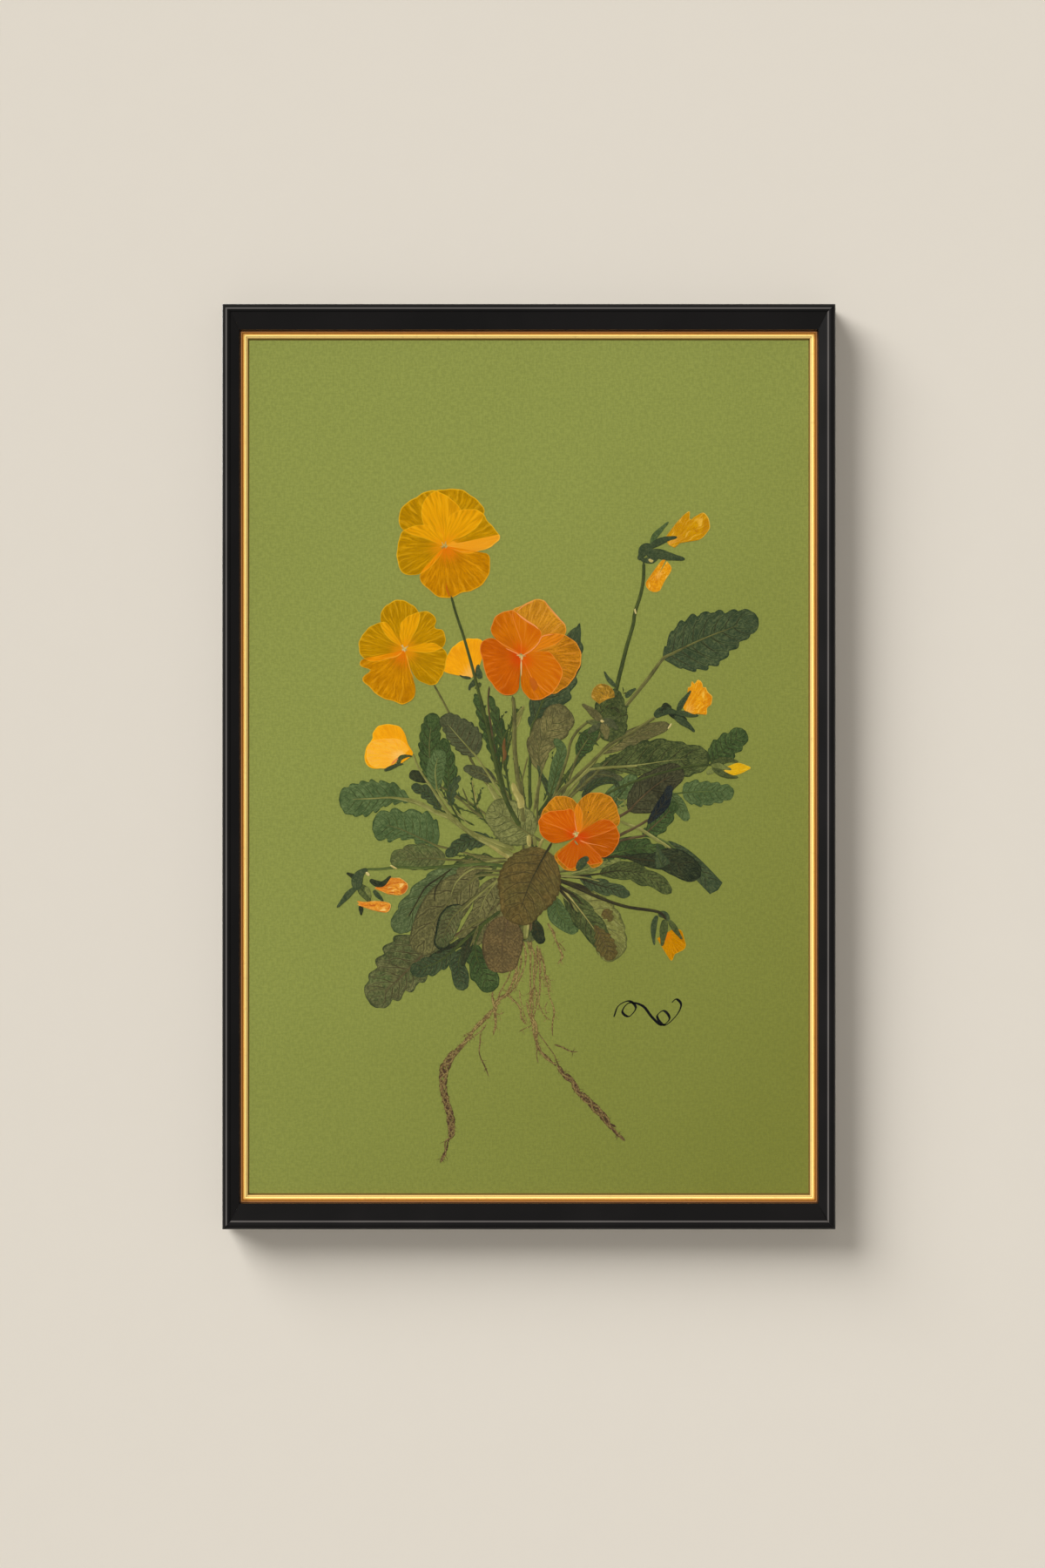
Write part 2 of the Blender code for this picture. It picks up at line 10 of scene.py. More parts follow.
import bmesh
import bpy
import numpy as np
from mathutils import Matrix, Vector


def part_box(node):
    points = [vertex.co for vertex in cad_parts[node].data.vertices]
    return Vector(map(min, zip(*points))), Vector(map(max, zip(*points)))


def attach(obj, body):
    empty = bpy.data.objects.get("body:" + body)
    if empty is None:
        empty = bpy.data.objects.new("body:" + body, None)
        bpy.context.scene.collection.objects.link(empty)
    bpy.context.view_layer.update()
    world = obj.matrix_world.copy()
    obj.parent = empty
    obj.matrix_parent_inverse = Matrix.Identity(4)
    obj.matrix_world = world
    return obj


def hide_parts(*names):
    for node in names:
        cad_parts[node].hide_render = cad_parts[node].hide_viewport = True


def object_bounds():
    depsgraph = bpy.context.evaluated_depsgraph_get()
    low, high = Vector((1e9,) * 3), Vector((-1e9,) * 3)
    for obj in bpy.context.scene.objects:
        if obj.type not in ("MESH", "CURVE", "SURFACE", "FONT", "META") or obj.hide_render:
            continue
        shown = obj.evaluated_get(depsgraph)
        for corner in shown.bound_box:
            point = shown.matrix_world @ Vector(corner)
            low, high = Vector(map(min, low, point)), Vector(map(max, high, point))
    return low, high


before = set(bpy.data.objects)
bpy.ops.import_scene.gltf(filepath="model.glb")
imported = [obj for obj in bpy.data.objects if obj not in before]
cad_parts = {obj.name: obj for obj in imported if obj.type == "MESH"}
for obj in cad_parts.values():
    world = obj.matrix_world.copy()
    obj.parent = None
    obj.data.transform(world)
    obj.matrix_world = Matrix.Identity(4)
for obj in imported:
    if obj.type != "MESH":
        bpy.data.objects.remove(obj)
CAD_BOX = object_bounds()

MM = 0.001

# --- Places and sizes read from the frame ---------------------------------------------------
MIDDLE_Z = (CAD_BOX[0].z + CAD_BOX[1].z) / 2
FRAME_WIDTH = (CAD_BOX[1].x - CAD_BOX[0].x) / MM
FRAME_HEIGHT = (CAD_BOX[1].z - CAD_BOX[0].z) / MM
FRAME_DEPTH = -CAD_BOX[0].y / MM
CARD_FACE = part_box("mount_card")[0].y
GLASS_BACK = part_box("glazing")[1].y
GLASS_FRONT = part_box("glazing")[0].y
FILL_WIDTH = (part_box("mount_card")[1].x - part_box("mount_card")[0].x) / MM
FILL_HEIGHT = (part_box("mount_card")[1].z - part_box("mount_card")[0].z) / MM

GAP = 0.3                   # play between a moulding and the sheet next to it
FACE_SIDE = 8.9             # black face of the side rails
FACE_END = 13.3             # black face of the top and bottom rails
LEDGE = 3.9                 # how far the lip covers the glass
BEAD = 2.25                 # radius of the half-round along the outer edge
BEAD_STEPS = 20
SLOPE_TOP = 18.8            # depth where the face leaves the bead
SLOPE_FOOT = 17.6           # depth of the face at the sight edge
MITRE_GAP = 0.05            # each bar ends this far short of the mitre
COVERED = 3.15              # part of the slip under the lip
SLIP_WIDTH = 7.45
SLIP_BACK = -CARD_FACE / MM + GAP
SLIP_FRONT = -GLASS_BACK / MM - GAP

LAYER = 0.17                # the pressed pieces are stacked this far apart
SHEET = 0.11                # thickness of a leaf or a petal
CLOSE = 0.00002             # vertices nearer than this are one
REST = 0.12                 # lift of the lowest layer
FAR = 9.0                   # a petal further off than this counts as this far off


def lift_of(layer, base=REST):
    """Height above the card of a layer in the stack of pressed pieces."""
    return base + layer * LAYER


# --- Colours ------------------------------------------------------------------------------
def paint(red, green, blue):
    """A linear colour from the 0 to 255 values of a paint chart."""
    def linear(value):
        value /= 255
        return value / 12.92 if value <= 0.04045 else ((value + 0.055) / 1.055) ** 2.4

    return (linear(red), linear(green), linear(blue), 1.0)


# --- Materials ------------------------------------------------------------------------------
class Wire:
    """A socket of a material that ordinary arithmetic works on."""

    def __init__(self, finish, socket):
        self.finish = finish
        self.socket = socket

    def maths(self, operation, *values):
        return self.finish.node(
            "ShaderNodeMath", {"operation": operation}, dict(enumerate(values))
        )

    def __add__(self, other):
        return self.maths("ADD", self, other)

    __radd__ = __add__

    def __sub__(self, other):
        return self.maths("SUBTRACT", self, other)

    def __rsub__(self, other):
        return self.maths("SUBTRACT", other, self)

    def __mul__(self, other):
        return self.maths("MULTIPLY", self, other)

    __rmul__ = __mul__

    def __pow__(self, other):
        return self.maths("POWER", self, other)

    def __abs__(self):
        return self.maths("ABSOLUTE", self)


class Finish:
    """A procedural material, with its Principled shader and the nodes that drive it."""

    def __init__(self, name, roughness=0.5, specular=0.5, metallic=0.0, coat=0.0):
        self.material = bpy.data.materials.new(name)
        self.material.use_nodes = True
        self.tree = self.material.node_tree
        self.shader = self.tree.nodes["Principled BSDF"]
        self.output = self.tree.nodes["Material Output"]
        self.shader.inputs["Roughness"].default_value = roughness
        self.shader.inputs["Specular IOR Level"].default_value = specular
        self.shader.inputs["Metallic"].default_value = metallic
        self.shader.inputs["Coat Weight"].default_value = coat

    def node(self, kind, settings=None, sockets=None, output=0):
        """Adds a node with its settings and the values or links of its sockets."""
        made = self.tree.nodes.new(kind)
        for name, value in (settings or {}).items():
            setattr(made, name, value)
        for name, value in (sockets or {}).items():
            if isinstance(value, Wire):
                self.tree.links.new(value.socket, made.inputs[name])
            else:
                made.inputs[name].default_value = value
        return Wire(self, made.outputs[output])

    def drive(self, socket, wire):
        self.tree.links.new(wire.socket, self.shader.inputs[socket])

    def object_place(self):
        """The place on the piece, in its own frame."""
        return self.node("ShaderNodeTexCoord", output=3)

    def grain(self):
        """The piece's own map: across, along, and how deep it overlaps what is under it."""
        return self.node("ShaderNodeAttribute", {"attribute_name": "grain"}, output=1)

    def split(self, vector):
        made = self.node("ShaderNodeSeparateXYZ", sockets={0: vector})
        outputs = made.socket.node.outputs
        return [Wire(self, outputs[index]) for index in range(3)]

    def join(self, x, y, z=0.0):
        return self.node("ShaderNodeCombineXYZ", sockets={0: x, 1: y, 2: z})

    def noise(self, vector, scale, detail=2.0, distortion=0.0):
        sockets = {"Vector": vector, "Scale": scale, "Detail": detail, "Distortion": distortion}
        return self.node("ShaderNodeTexNoise", sockets=sockets)

    def ease(self, value, low, high):
        """0 below low and 1 above high, or the other way round if low is the greater."""
        settings = {"interpolation_type": "SMOOTHSTEP"}
        if low > high:
            return 1 - self.ease(value, high, low)
        return self.node("ShaderNodeMapRange", settings, {0: value, 1: low, 2: high})

    def mix(self, factor, first, second):
        settings = {"data_type": "RGBA"}
        return self.node("ShaderNodeMix", settings, {0: factor, 6: first, 7: second}, output=2)

    def tint(self, tone, colour, value, low, high, strength=1):
        """Lays a colour over the tone where the value passes from low to high."""
        shown = self.ease(value, low, high)
        return self.mix(shown if strength == 1 else shown * strength, tone, colour)

    def bump(self, height, distance, strength=1.0):
        sockets = {"Height": height, "Distance": distance, "Strength": strength}
        self.drive("Normal", self.node("ShaderNodeBump", sockets=sockets))


def lacquer_finish(name, along_x, highlight_at):
    """Black lacquer with faint pores along the bar, and a painted highlight along a line on its bead."""
    finish = Finish(name, specular=0.28, coat=0.12)
    place = finish.object_place()
    x, y, z = finish.split(place)
    if along_x:
        stretched = finish.join(x * 30, y * 900, z * 900)
    else:
        stretched = finish.join(x * 900, y * 900, z * 30)
    pores = finish.noise(stretched, 1.0, 3.0)
    cloud = finish.noise(place, 26.0, 3.0)
    inset, _, _ = finish.split(finish.grain())
    # painted highlight: a light line along the bead where the raking light would glint
    painted_highlight = finish.ease(abs(inset - highlight_at), 0.55, 0.2)
    tone = finish.tint(LACQUER, LACQUER_WORN, cloud, 0.35, 0.7)
    tone = finish.mix(painted_highlight * (0.6 + 0.4 * cloud), tone, LACQUER_PAINTED_HIGHLIGHT)
    tone = finish.tint(tone, LACQUER_DUST, finish.noise(place, 1900.0, 1.0), 0.74, 0.82, 0.10)
    finish.drive("Base Color", tone)
    finish.drive("Roughness", 0.24 + 0.12 * cloud + 0.06 * pores)
    finish.bump(pores * 0.7 + cloud * 0.3, 0.00006, 0.5)
    return finish.material


def gilt_finish():
    """Gold leaf over umber, painted in bands across the slip: painted shadow under the lip, bronze with
    painted shade in the hollow, gold with a painted highlight on the bead, a paler painted highlight line,
    a dark line painted as a groove's shade, and painted shade at the inner edge.
    """
    finish = Finish("gilt", metallic=0.4)
    place = finish.object_place()
    inset, _, _ = finish.split(finish.grain())
    cloud = finish.noise(place, 90.0, 4.0)
    shown = inset + (cloud - 0.5) * 0.08
    # starts from painted shadow under the lip, then bronze with painted shade in the hollow, gold with a
    # painted highlight on the bead and a paler painted highlight line
    tone = GILT_SHADE
    for start, full, colour in GILT_BANDS:
        tone = finish.tint(tone, colour, shown, start, full)
    # a thin dark line painted as the shade in a groove
    painted_groove_shade = finish.ease(shown, 5.95, 6.1) * finish.ease(shown, 6.4, 6.25)
    tone = finish.mix(painted_groove_shade * 0.6, tone, GILT_BRONZE_AND_SHADE)
    # painted shade along the slip's inner edge
    tone = finish.tint(tone, GILT_PAINTED_EDGE_SHADE, shown, 6.7, 6.9)
    tone = finish.tint(tone, GILT_UMBER, finish.noise(place, 420.0, 3.0), 0.6, 0.75, 0.18)
    finish.drive("Base Color", tone)
    finish.drive("Roughness", 0.48 + 0.18 * cloud)
    finish.bump(finish.noise(place, 600.0, 3.0), 0.00004, 0.4)
    return finish.material


def glass_finish():
    """Clear picture glass: see-through, with a faint mirror that grows at a slant."""
    finish = Finish("clear_glass")
    finish.tree.nodes.remove(finish.shader)
    clear = finish.node("ShaderNodeBsdfTransparent", sockets={"Color": GLASS_CLEAR})
    mirror = finish.node("ShaderNodeBsdfGlossy", sockets={"Roughness": 0.02})
    gleam = finish.node("ShaderNodeFresnel", sockets={"IOR": 1.22})
    shown = finish.node("ShaderNodeMixShader", sockets={0: gleam, 1: clear, 2: mirror})
    finish.tree.links.new(shown.socket, finish.output.inputs["Surface"])
    return finish.material


def card_finish():
    """Moss green card with a fine tooth, and painted shade that grows towards the lower right, as if lit
    from the upper left.
    """
    finish = Finish("moss_card", roughness=0.95, specular=0.03)
    place = finish.object_place()
    x, y, z = finish.split(place)
    # painted shade: the card is painted darker towards the lower right, as if lit from the upper left
    painted_falloff = finish.ease(x * 0.9 - z * 0.8, 0.02, 0.55)
    cloud = finish.noise(place, 14.0, 2.0)
    fibre = finish.noise(finish.join(x * 420, y, z * 1100), 1.0, 2.0)
    cross = finish.noise(finish.join(x * 1100, y, z * 420), 1.0, 2.0)
    tooth = (fibre + cross) * 0.5
    tone = finish.mix(painted_falloff + (cloud - 0.5) * 0.22, CARD_PAINTED_LIT, CARD_PAINTED_SHADE)
    tone = finish.mix(finish.ease(tooth, 0.38, 0.62), finish.mix(0.26, tone, CARD_FLECK), tone)
    tone = finish.tint(tone, CARD_FIBRE, finish.noise(place, 1150.0, 1.0), 0.66, 0.78, 0.10)
    finish.drive("Base Color", tone)
    finish.bump(tooth, 0.00008, 0.35)
    return finish.material


def board_finish():
    """Brown pressed board: flecks, fibres and a few scuffs."""
    finish = Finish("brown_board", roughness=0.85, specular=0.2)
    place = finish.object_place()
    fibre = finish.noise(place, 900.0, 4.0)
    tone = finish.mix(finish.noise(place, 18.0, 3.0), BOARD_BROWN, BOARD_LIGHT)
    tone = finish.tint(tone, BOARD_DARK, fibre, 0.52, 0.7, 0.6)
    tone = finish.tint(tone, BOARD_SCUFF, finish.noise(place, 60.0, 5.0, 1.5), 0.64, 0.7, 0.35)
    finish.drive("Base Color", tone)
    finish.bump(fibre, 0.0002, 0.5)
    return finish.material


def steel_finish():
    """Zinc-plated strip: fine rolling lines and a few dull spots."""
    finish = Finish("zinc_steel", metallic=1.0)
    place = finish.object_place()
    x, y, z = finish.split(place)
    lines = finish.noise(finish.join(x * 60, y * 60, z * 2600), 1.0, 2.0)
    spots = finish.ease(finish.noise(place, 240.0, 3.0), 0.56, 0.7)
    tone = finish.tint(STEEL_DARK, STEEL_LIGHT, lines, 0.3, 0.7)
    finish.drive("Base Color", finish.mix(spots * 0.5, tone, STEEL_SPOT))
    finish.drive("Roughness", 0.28 + 0.2 * spots + 0.1 * lines)
    finish.bump(lines, 0.00003, 0.4)
    return finish.material


def petal_finish(name, thin, thick, vein, throat, rim, veining=0.5, crumple=0.0):
    """A pressed petal: dull where one layer lies on the card, bright where two overlap."""
    finish = Finish(name, roughness=0.8, specular=0.0)
    place = finish.object_place()
    across, along, over = finish.split(finish.grain())
    bend = finish.noise(place, 140.0, 2.0) * 0.16
    streaks = finish.noise(finish.join(across * 19 + bend * 12, along * 1.8), 1.0, 3.0)
    fine = finish.noise(finish.join(across * 42 + bend * 20, along * 5), 1.0, 3.0)
    speckle = finish.noise(place, 1500.0, 2.0)
    cloud = finish.noise(place, 120.0, 3.0)
    tone = finish.tint(thin, vein, cloud, 0.3, 0.75, 0.5)
    tone = finish.tint(tone, vein, fine * 0.6 + speckle * 0.4, 0.45, 0.60, veining)
    doubled = finish.ease(over, -0.12, 0.12)
    bright = finish.tint(thick, throat, streaks, 0.4, 0.7, 0.35)
    tone = finish.mix(doubled * (0.84 + 0.16 * cloud), tone, bright)
    tone = finish.tint(tone, rim, abs(over), 0.42, 0.08, 0.5)
    outward = finish.ease(along, 0.05, 0.3) * veining
    tone = finish.tint(tone, vein, streaks, 0.49, 0.64, outward * 0.5)
    tone = finish.tint(tone, rim, streaks, 0.46, 0.35, outward * 0.42)
    tone = finish.tint(tone, throat, along + (streaks - 0.5) * 0.7, 0.36, 0.03, 0.75)
    if crumple:
        folds = finish.noise(finish.join(across * 5 + bend * 14, along * 4), 1.0, 4.0, 0.5)
        tone = finish.tint(tone, vein, folds, 0.50, 0.36, crumple)
        tone = finish.tint(tone, rim, folds, 0.57, 0.66, crumple)
    # the last tint is a painted highlight along the petal's outer edge
    finish.drive("Base Color", finish.tint(tone, rim, along, 0.97, 0.99, 0.65))
    finish.bump(streaks * 0.6 + fine * 0.4, 0.00012, 0.6)
    return finish.material


def leaf_finish(name, body, patch, vein, edge, light, pairs=6, veining=0.5, mottle=0.5):
    """A pressed leaf: mottled blade, midrib and curved side veins, and a dark margin that is partly a dried
    edge and partly painted contact shade.
    """
    finish = Finish(name, roughness=0.82, specular=0.04)
    place = finish.object_place()
    across, along, _ = finish.split(finish.grain())
    side = abs(across)
    cloud = finish.noise(place, 95.0, 3.0, 0.6)
    grain = finish.noise(place, 900.0, 3.0)
    fibre = finish.noise(finish.join(across * 7 - along * 8, along * 13), 1.0, 4.0)
    tone = finish.tint(body, patch, cloud, 0.32, 0.68)
    tone = finish.tint(tone, edge, finish.noise(place, 42.0, 3.0, 1.2), 0.44, 0.70, 0.6)
    tone = finish.tint(tone, edge, grain, 0.44, 0.66, mottle)
    tone = finish.tint(tone, light, grain, 0.48, 0.34, mottle * 0.5)
    tone = finish.tint(tone, vein, fibre, 0.50, 0.64, 0.45)
    tone = finish.tint(tone, light, fibre, 0.46, 0.34, 0.28)
    cells = {"Vector": place, "Scale": 400.0}
    net = finish.node("ShaderNodeTexVoronoi", {"feature": "DISTANCE_TO_EDGE"}, cells)
    tone = finish.tint(tone, edge, net, 0.12, 0.02, 0.2)
    wander = (finish.noise(place, 170.0, 2.0) - 0.5) * 0.6
    wave = (along * 1.15 - (side ** 1.25) * 0.34) * pairs + wander
    branch = abs(wave.maths("FRACT", wave) - 0.5)
    lines = finish.ease(branch, 0.425, 0.475) * finish.ease(side, 0.98, 0.75)
    beside = finish.ease(branch, 0.30, 0.40) * finish.ease(branch, 0.47, 0.42)
    spine = finish.ease(side, 0.16, 0.05) * finish.ease(along, 0.9, 0.5)
    tone = finish.mix(beside * veining * 0.4, tone, light)
    tone = finish.mix(lines * veining * 1.35, tone, vein)
    tone = finish.mix(spine * veining * 0.6, tone, vein)
    # darker margin and tip: partly a dried edge, partly painted contact shade along the outline
    rim = finish.ease(side + (grain - 0.5) * 0.2, 0.86, 1.0)
    tip = finish.ease(along, 0.95, 0.995)
    finish.drive("Base Color", finish.mix((rim + tip) * 0.8, tone, edge))
    finish.bump(grain * 0.5 + lines * 0.6 + cloud * 0.4, 0.00022, 0.7)
    return finish.material


def stalk_finish(name, body, shade, light):
    """A pressed stalk: fine ribs along it, painted shade on its rounded flanks, and dry patches."""
    finish = Finish(name, roughness=0.7, specular=0.1)
    across, along, _ = finish.split(finish.grain())
    ribs = finish.noise(finish.join(across * 7, along * 5), 1.0, 3.0)
    dry = finish.noise(finish.object_place(), 130.0, 3.0)
    tone = finish.tint(body, shade, dry, 0.42, 0.62)
    tone = finish.tint(tone, light, ribs, 0.48, 0.66, 0.6)
    # painted shade on the stalk's flanks, where its round sides turn from the light
    finish.drive("Base Color", finish.tint(tone, shade, abs(across), 0.30, 0.48, 0.6))
    finish.bump(ribs, 0.00015, 0.6)
    return finish.material


def root_finish(name, soil):
    """Washed roots: tan skin with dark knots where soil clings, more so lower down."""
    finish = Finish(name, roughness=0.85, specular=0.05)
    place = finish.object_place()
    _, _, z = finish.split(place)
    soiled = finish.ease(z, ROOT_CLEAN_ABOVE, ROOT_SOILED_BELOW)
    knots = finish.noise(place, 520.0, 6.0, 1.6) + soiled * 0.07
    fibre = finish.noise(place, 1100.0, 4.0)
    clinging = (0.45 + 0.55 * soiled) * soil
    tone = finish.tint(ROOT_TAN, ROOT_STRAW, fibre, 0.38, 0.62)
    tone = finish.mix(soiled * 0.6 * soil, tone, ROOT_BARK)
    finish.drive("Base Color", finish.tint(tone, ROOT_DARK, knots, 0.46, 0.62, clinging))
    finish.bump(fibre, 0.0002, 0.7)
    return finish.material


def ink_finish():
    """Black drawing ink, a little thinner where the pen lifted."""
    finish = Finish("pen_ink", roughness=0.8, specular=0.1)
    pool = finish.noise(finish.object_place(), 420.0, 3.0)
    finish.drive("Base Color", finish.tint(INK, INK_THIN, pool, 0.55, 0.75))
    return finish.material


LACQUER = paint(23, 21, 20)
LACQUER_WORN = paint(29, 26, 25)
# painted highlight along the rails' beads
LACQUER_PAINTED_HIGHLIGHT = paint(138, 132, 128)
LACQUER_DUST = paint(120, 114, 106)
# gilt bands: painted shadow under the lip, bronze with painted shade, gold with a painted highlight, a
# paler painted highlight and painted shade at the inner edge; the umber is the gilt's own mottling
GILT_SHADE = paint(84, 50, 18)
GILT_BRONZE_AND_SHADE = paint(170, 106, 28)
GILT_GOLD_AND_HIGHLIGHT = paint(246, 192, 98)
GILT_PAINTED_HIGHLIGHT = paint(250, 214, 130)
GILT_PAINTED_EDGE_SHADE = paint(156, 118, 56)
GILT_UMBER = paint(96, 60, 26)
# where on the slip's width a band starts, where it is full, its colour; the bands paint the light and shade
# of the slip's profile
GILT_BANDS = ((3.2, 4.1, GILT_BRONZE_AND_SHADE), (4.6, 4.9, GILT_GOLD_AND_HIGHLIGHT), (5.2, 5.6, GILT_PAINTED_HIGHLIGHT))
GLASS_CLEAR = (0.985, 0.99, 0.985, 1.0)
# the card's lighter and darker tones paint its light falling off towards the lower right
CARD_PAINTED_LIT = paint(147, 153, 77)
CARD_PAINTED_SHADE = paint(125, 127, 54)
CARD_FLECK = paint(92, 98, 44)
CARD_FIBRE = paint(172, 176, 104)
BOARD_BROWN = paint(146, 118, 88)
BOARD_LIGHT = paint(160, 132, 102)
BOARD_DARK = paint(96, 70, 48)
BOARD_SCUFF = paint(176, 148, 116)
STEEL_DARK = paint(150, 152, 154)
STEEL_LIGHT = paint(196, 198, 200)
STEEL_SPOT = paint(120, 116, 108)
ROOT_TAN = paint(122, 97, 58)
ROOT_STRAW = paint(168, 147, 88)
ROOT_BARK = paint(106, 76, 56)
ROOT_DARK = paint(72, 50, 38)
ROOT_CLEAN_ABOVE = MIDDLE_Z - 0.128
ROOT_SOILED_BELOW = MIDDLE_Z - 0.165
INK = paint(8, 8, 10)
INK_THIN = paint(26, 27, 28)
WALL = paint(222, 214, 201)
WALL_SHADE = paint(205, 196, 182)

# name: body, patch, vein, edge, light, pairs of side veins, how strongly they show, mottle
LEAF_TONES = {
    "bottle": ((78, 90, 58), (62, 74, 51), (48, 60, 36), (42, 56, 36), (108, 114, 70), 7, 0.6, 0.6),
    "green": ((102, 119, 72), (84, 102, 59), (58, 76, 40), (52, 70, 38), (122, 134, 84), 7, 0.55, 0.5),
    "fern": ((78, 96, 51), (62, 79, 42), (44, 60, 30), (38, 52, 28), (96, 112, 62), 6, 0.5, 0.6),
    "sage": ((104, 114, 64), (100, 96, 58), (74, 82, 46), (62, 70, 40), (128, 134, 80), 5, 0.5, 0.6),
    "teal": ((108, 122, 76), (94, 106, 64), (70, 80, 48), (58, 72, 42), (130, 140, 92), 5, 0.6, 0.5),
    "slate": ((92, 94, 62), (80, 84, 55), (64, 68, 42), (50, 56, 36), (112, 112, 76), 6, 0.5, 0.5),
    "moss": ((98, 106, 58), (70, 78, 43), (48, 58, 32), (44, 54, 30), (118, 122, 66), 8, 0.6, 0.6),
    "umber": ((134, 124, 73), (104, 98, 60), (70, 66, 40), (66, 64, 38), (140, 132, 82), 6, 0.6, 0.5),
    "plum": ((66, 64, 44), (80, 80, 52), (44, 44, 30), (42, 42, 28), (98, 94, 62), 4, 0.6, 0.6),
    "indigo": ((40, 46, 46), (28, 34, 38), (54, 58, 50), (22, 27, 32), (66, 72, 64), 4, 0.4, 0.5),
    "night": ((46, 54, 36), (62, 66, 42), (28, 36, 24), (26, 34, 24), (84, 90, 56), 5, 0.5, 0.6),
    "brown": ((116, 95, 48), (98, 89, 46), (68, 58, 32), (74, 62, 32), (128, 110, 62), 6, 0.5, 0.6),
    "dust": ((122, 100, 60), (94, 80, 50), (86, 72, 42), (72, 60, 38), (142, 120, 74), 5, 0.3, 0.7),
    "olive": ((144, 144, 82), (124, 124, 70), (84, 88, 48), (76, 80, 44), (152, 150, 92), 5, 0.7, 0.5),
    "taupe": ((128, 122, 72), (106, 102, 61), (74, 70, 42), (64, 62, 38), (140, 132, 82), 4, 0.6, 0.6),
    "heather": ((120, 115, 71), (94, 105, 59), (76, 70, 44), (52, 60, 36), (130, 130, 84), 8, 0.7, 0.6),
    "papery": ((142, 140, 74), (124, 124, 62), (104, 100, 52), (76, 78, 42), (166, 166, 100), 6, 0.5, 0.3),
    "pale": ((134, 138, 74), (114, 120, 62), (90, 98, 48), (70, 80, 42), (158, 160, 96), 4, 0.4, 0.4),
}
# name: one layer, two layers, veins, throat, rim, how strongly the veins show
PETAL_TONES = {
    "yellow": ((198, 142, 0), (230, 160, 2), (152, 108, 0), (228, 140, 10), (242, 184, 30), 0.75),
    "yellow_lip": ((210, 140, 0), (230, 144, 2), (164, 102, 0), (228, 112, 6), (242, 176, 30), 0.7),
    "yellow_fold": ((232, 152, 14), (236, 156, 24), (206, 124, 12), (240, 168, 50), (250, 186, 60), 0.4),
    "yellow_full": ((250, 172, 16), (252, 180, 30), (222, 134, 10), (246, 190, 96), (255, 196, 40), 0.35),
    "yellow_pale": ((250, 172, 32), (250, 178, 40), (242, 150, 20), (252, 200, 110), (254, 198, 70),
                    0.4, 0.35),
    "yellow_crumpled": ((240, 166, 20), (242, 172, 28), (204, 120, 12), (240, 176, 80), (248, 198, 80),
                        0.6, 0.65),
    "yellow_bud": ((232, 184, 20), (238, 190, 30), (204, 144, 14), (234, 190, 70), (248, 208, 70),
                   0.5, 0.4),
    "yellow_dull": ((214, 156, 4), (222, 162, 14), (180, 116, 8), (226, 160, 60), (240, 186, 74), 0.6, 0.6),
    "yellow_withered": ((178, 130, 34), (206, 150, 34), (112, 88, 34), (214, 152, 50), (204, 160, 76),
                        0.6, 0.8),
    "amber": ((206, 134, 22), (220, 128, 14), (142, 86, 12), (224, 116, 20), (234, 150, 52), 0.75),
    "amber_light": ((218, 150, 34), (220, 140, 24), (166, 104, 18), (224, 126, 26), (238, 166, 70), 0.7),
    "orange": ((210, 116, 2), (206, 114, 6), (172, 80, 2), (214, 78, 4), (240, 150, 60), 0.5),
    "orange_lip": ((206, 100, 2), (206, 100, 4), (168, 70, 2), (206, 56, 4), (238, 144, 54), 0.5),
    "orange_deep": ((190, 94, 4), (192, 94, 6), (158, 66, 2), (204, 54, 4), (236, 138, 56), 0.5),
    "peach": ((242, 164, 48), (244, 176, 70), (186, 86, 26), (230, 124, 30), (250, 204, 118), 0.5, 0.85),
}
# name: body, shade, light
STALK_TONES = {
    "green": ((98, 112, 54), (64, 78, 35), (136, 144, 80)),
    "olive": ((116, 112, 58), (80, 78, 42), (150, 146, 84)),
    "russet": ((104, 84, 54), (74, 60, 38), (136, 116, 74)),
    "dark": ((60, 58, 30), (44, 40, 26), (92, 84, 46)),
    "pine": ((76, 86, 38), (54, 64, 30), (108, 114, 58)),
    "cream": ((226, 206, 140), (186, 162, 84), (246, 236, 190)),
    "blush": ((238, 158, 92), (224, 130, 52), (248, 190, 136)),
    "lime": ((152, 149, 82), (112, 111, 54), (186, 180, 112)),
    "gold": ((238, 176, 40), (228, 152, 20), (250, 200, 90)),
    "bruise": ((194, 98, 6), (186, 92, 4), (202, 108, 12)),
    "straw": ((186, 172, 98), (138, 128, 66), (218, 204, 134)),
    "vein_olive": ((92, 94, 52), (80, 82, 44), (108, 108, 62)),
    "vein_brown": ((74, 66, 40), (64, 58, 34), (92, 82, 50)),
    "rust": ((124, 86, 42), (92, 64, 34), (150, 108, 56)),
}
TONES_IN_SLOT = {
    "leaf_green": ("bottle", "green", "fern", "teal"),
    "leaf_olive": ("sage", "slate", "moss", "olive", "papery", "pale"),
    "leaf_brown": ("umber", "plum", "brown", "dust", "taupe", "heather"),
    "leaf_dark": ("night", "indigo"),
}
TONES_WITH_VEIN = {
    "pine": ("green", "teal", "sage"),
    "vein_olive": ("olive", "pale", "papery", "umber"),
    "vein_brown": ("taupe", "heather", "slate", "brown"),
    "dark": ("bottle", "fern", "moss", "plum", "night", "indigo"),
}


def by_tone(groups):
    """Turns a table of groups of tones into a table that gives each tone's group."""
    return {tone: name for name, tones in groups.items() for tone in tones}


SLOT_OF_TONE = by_tone(TONES_IN_SLOT)
VEIN_OF_TONE = by_tone(TONES_WITH_VEIN)


def finishes(kind, make, tones):
    """One material for each named row of chart colours and settings."""
    made = {}
    for name, row in tones.items():
        settings = [paint(*item) if isinstance(item, tuple) else item for item in row]
        made[name] = make(kind + name, *settings)
    return made


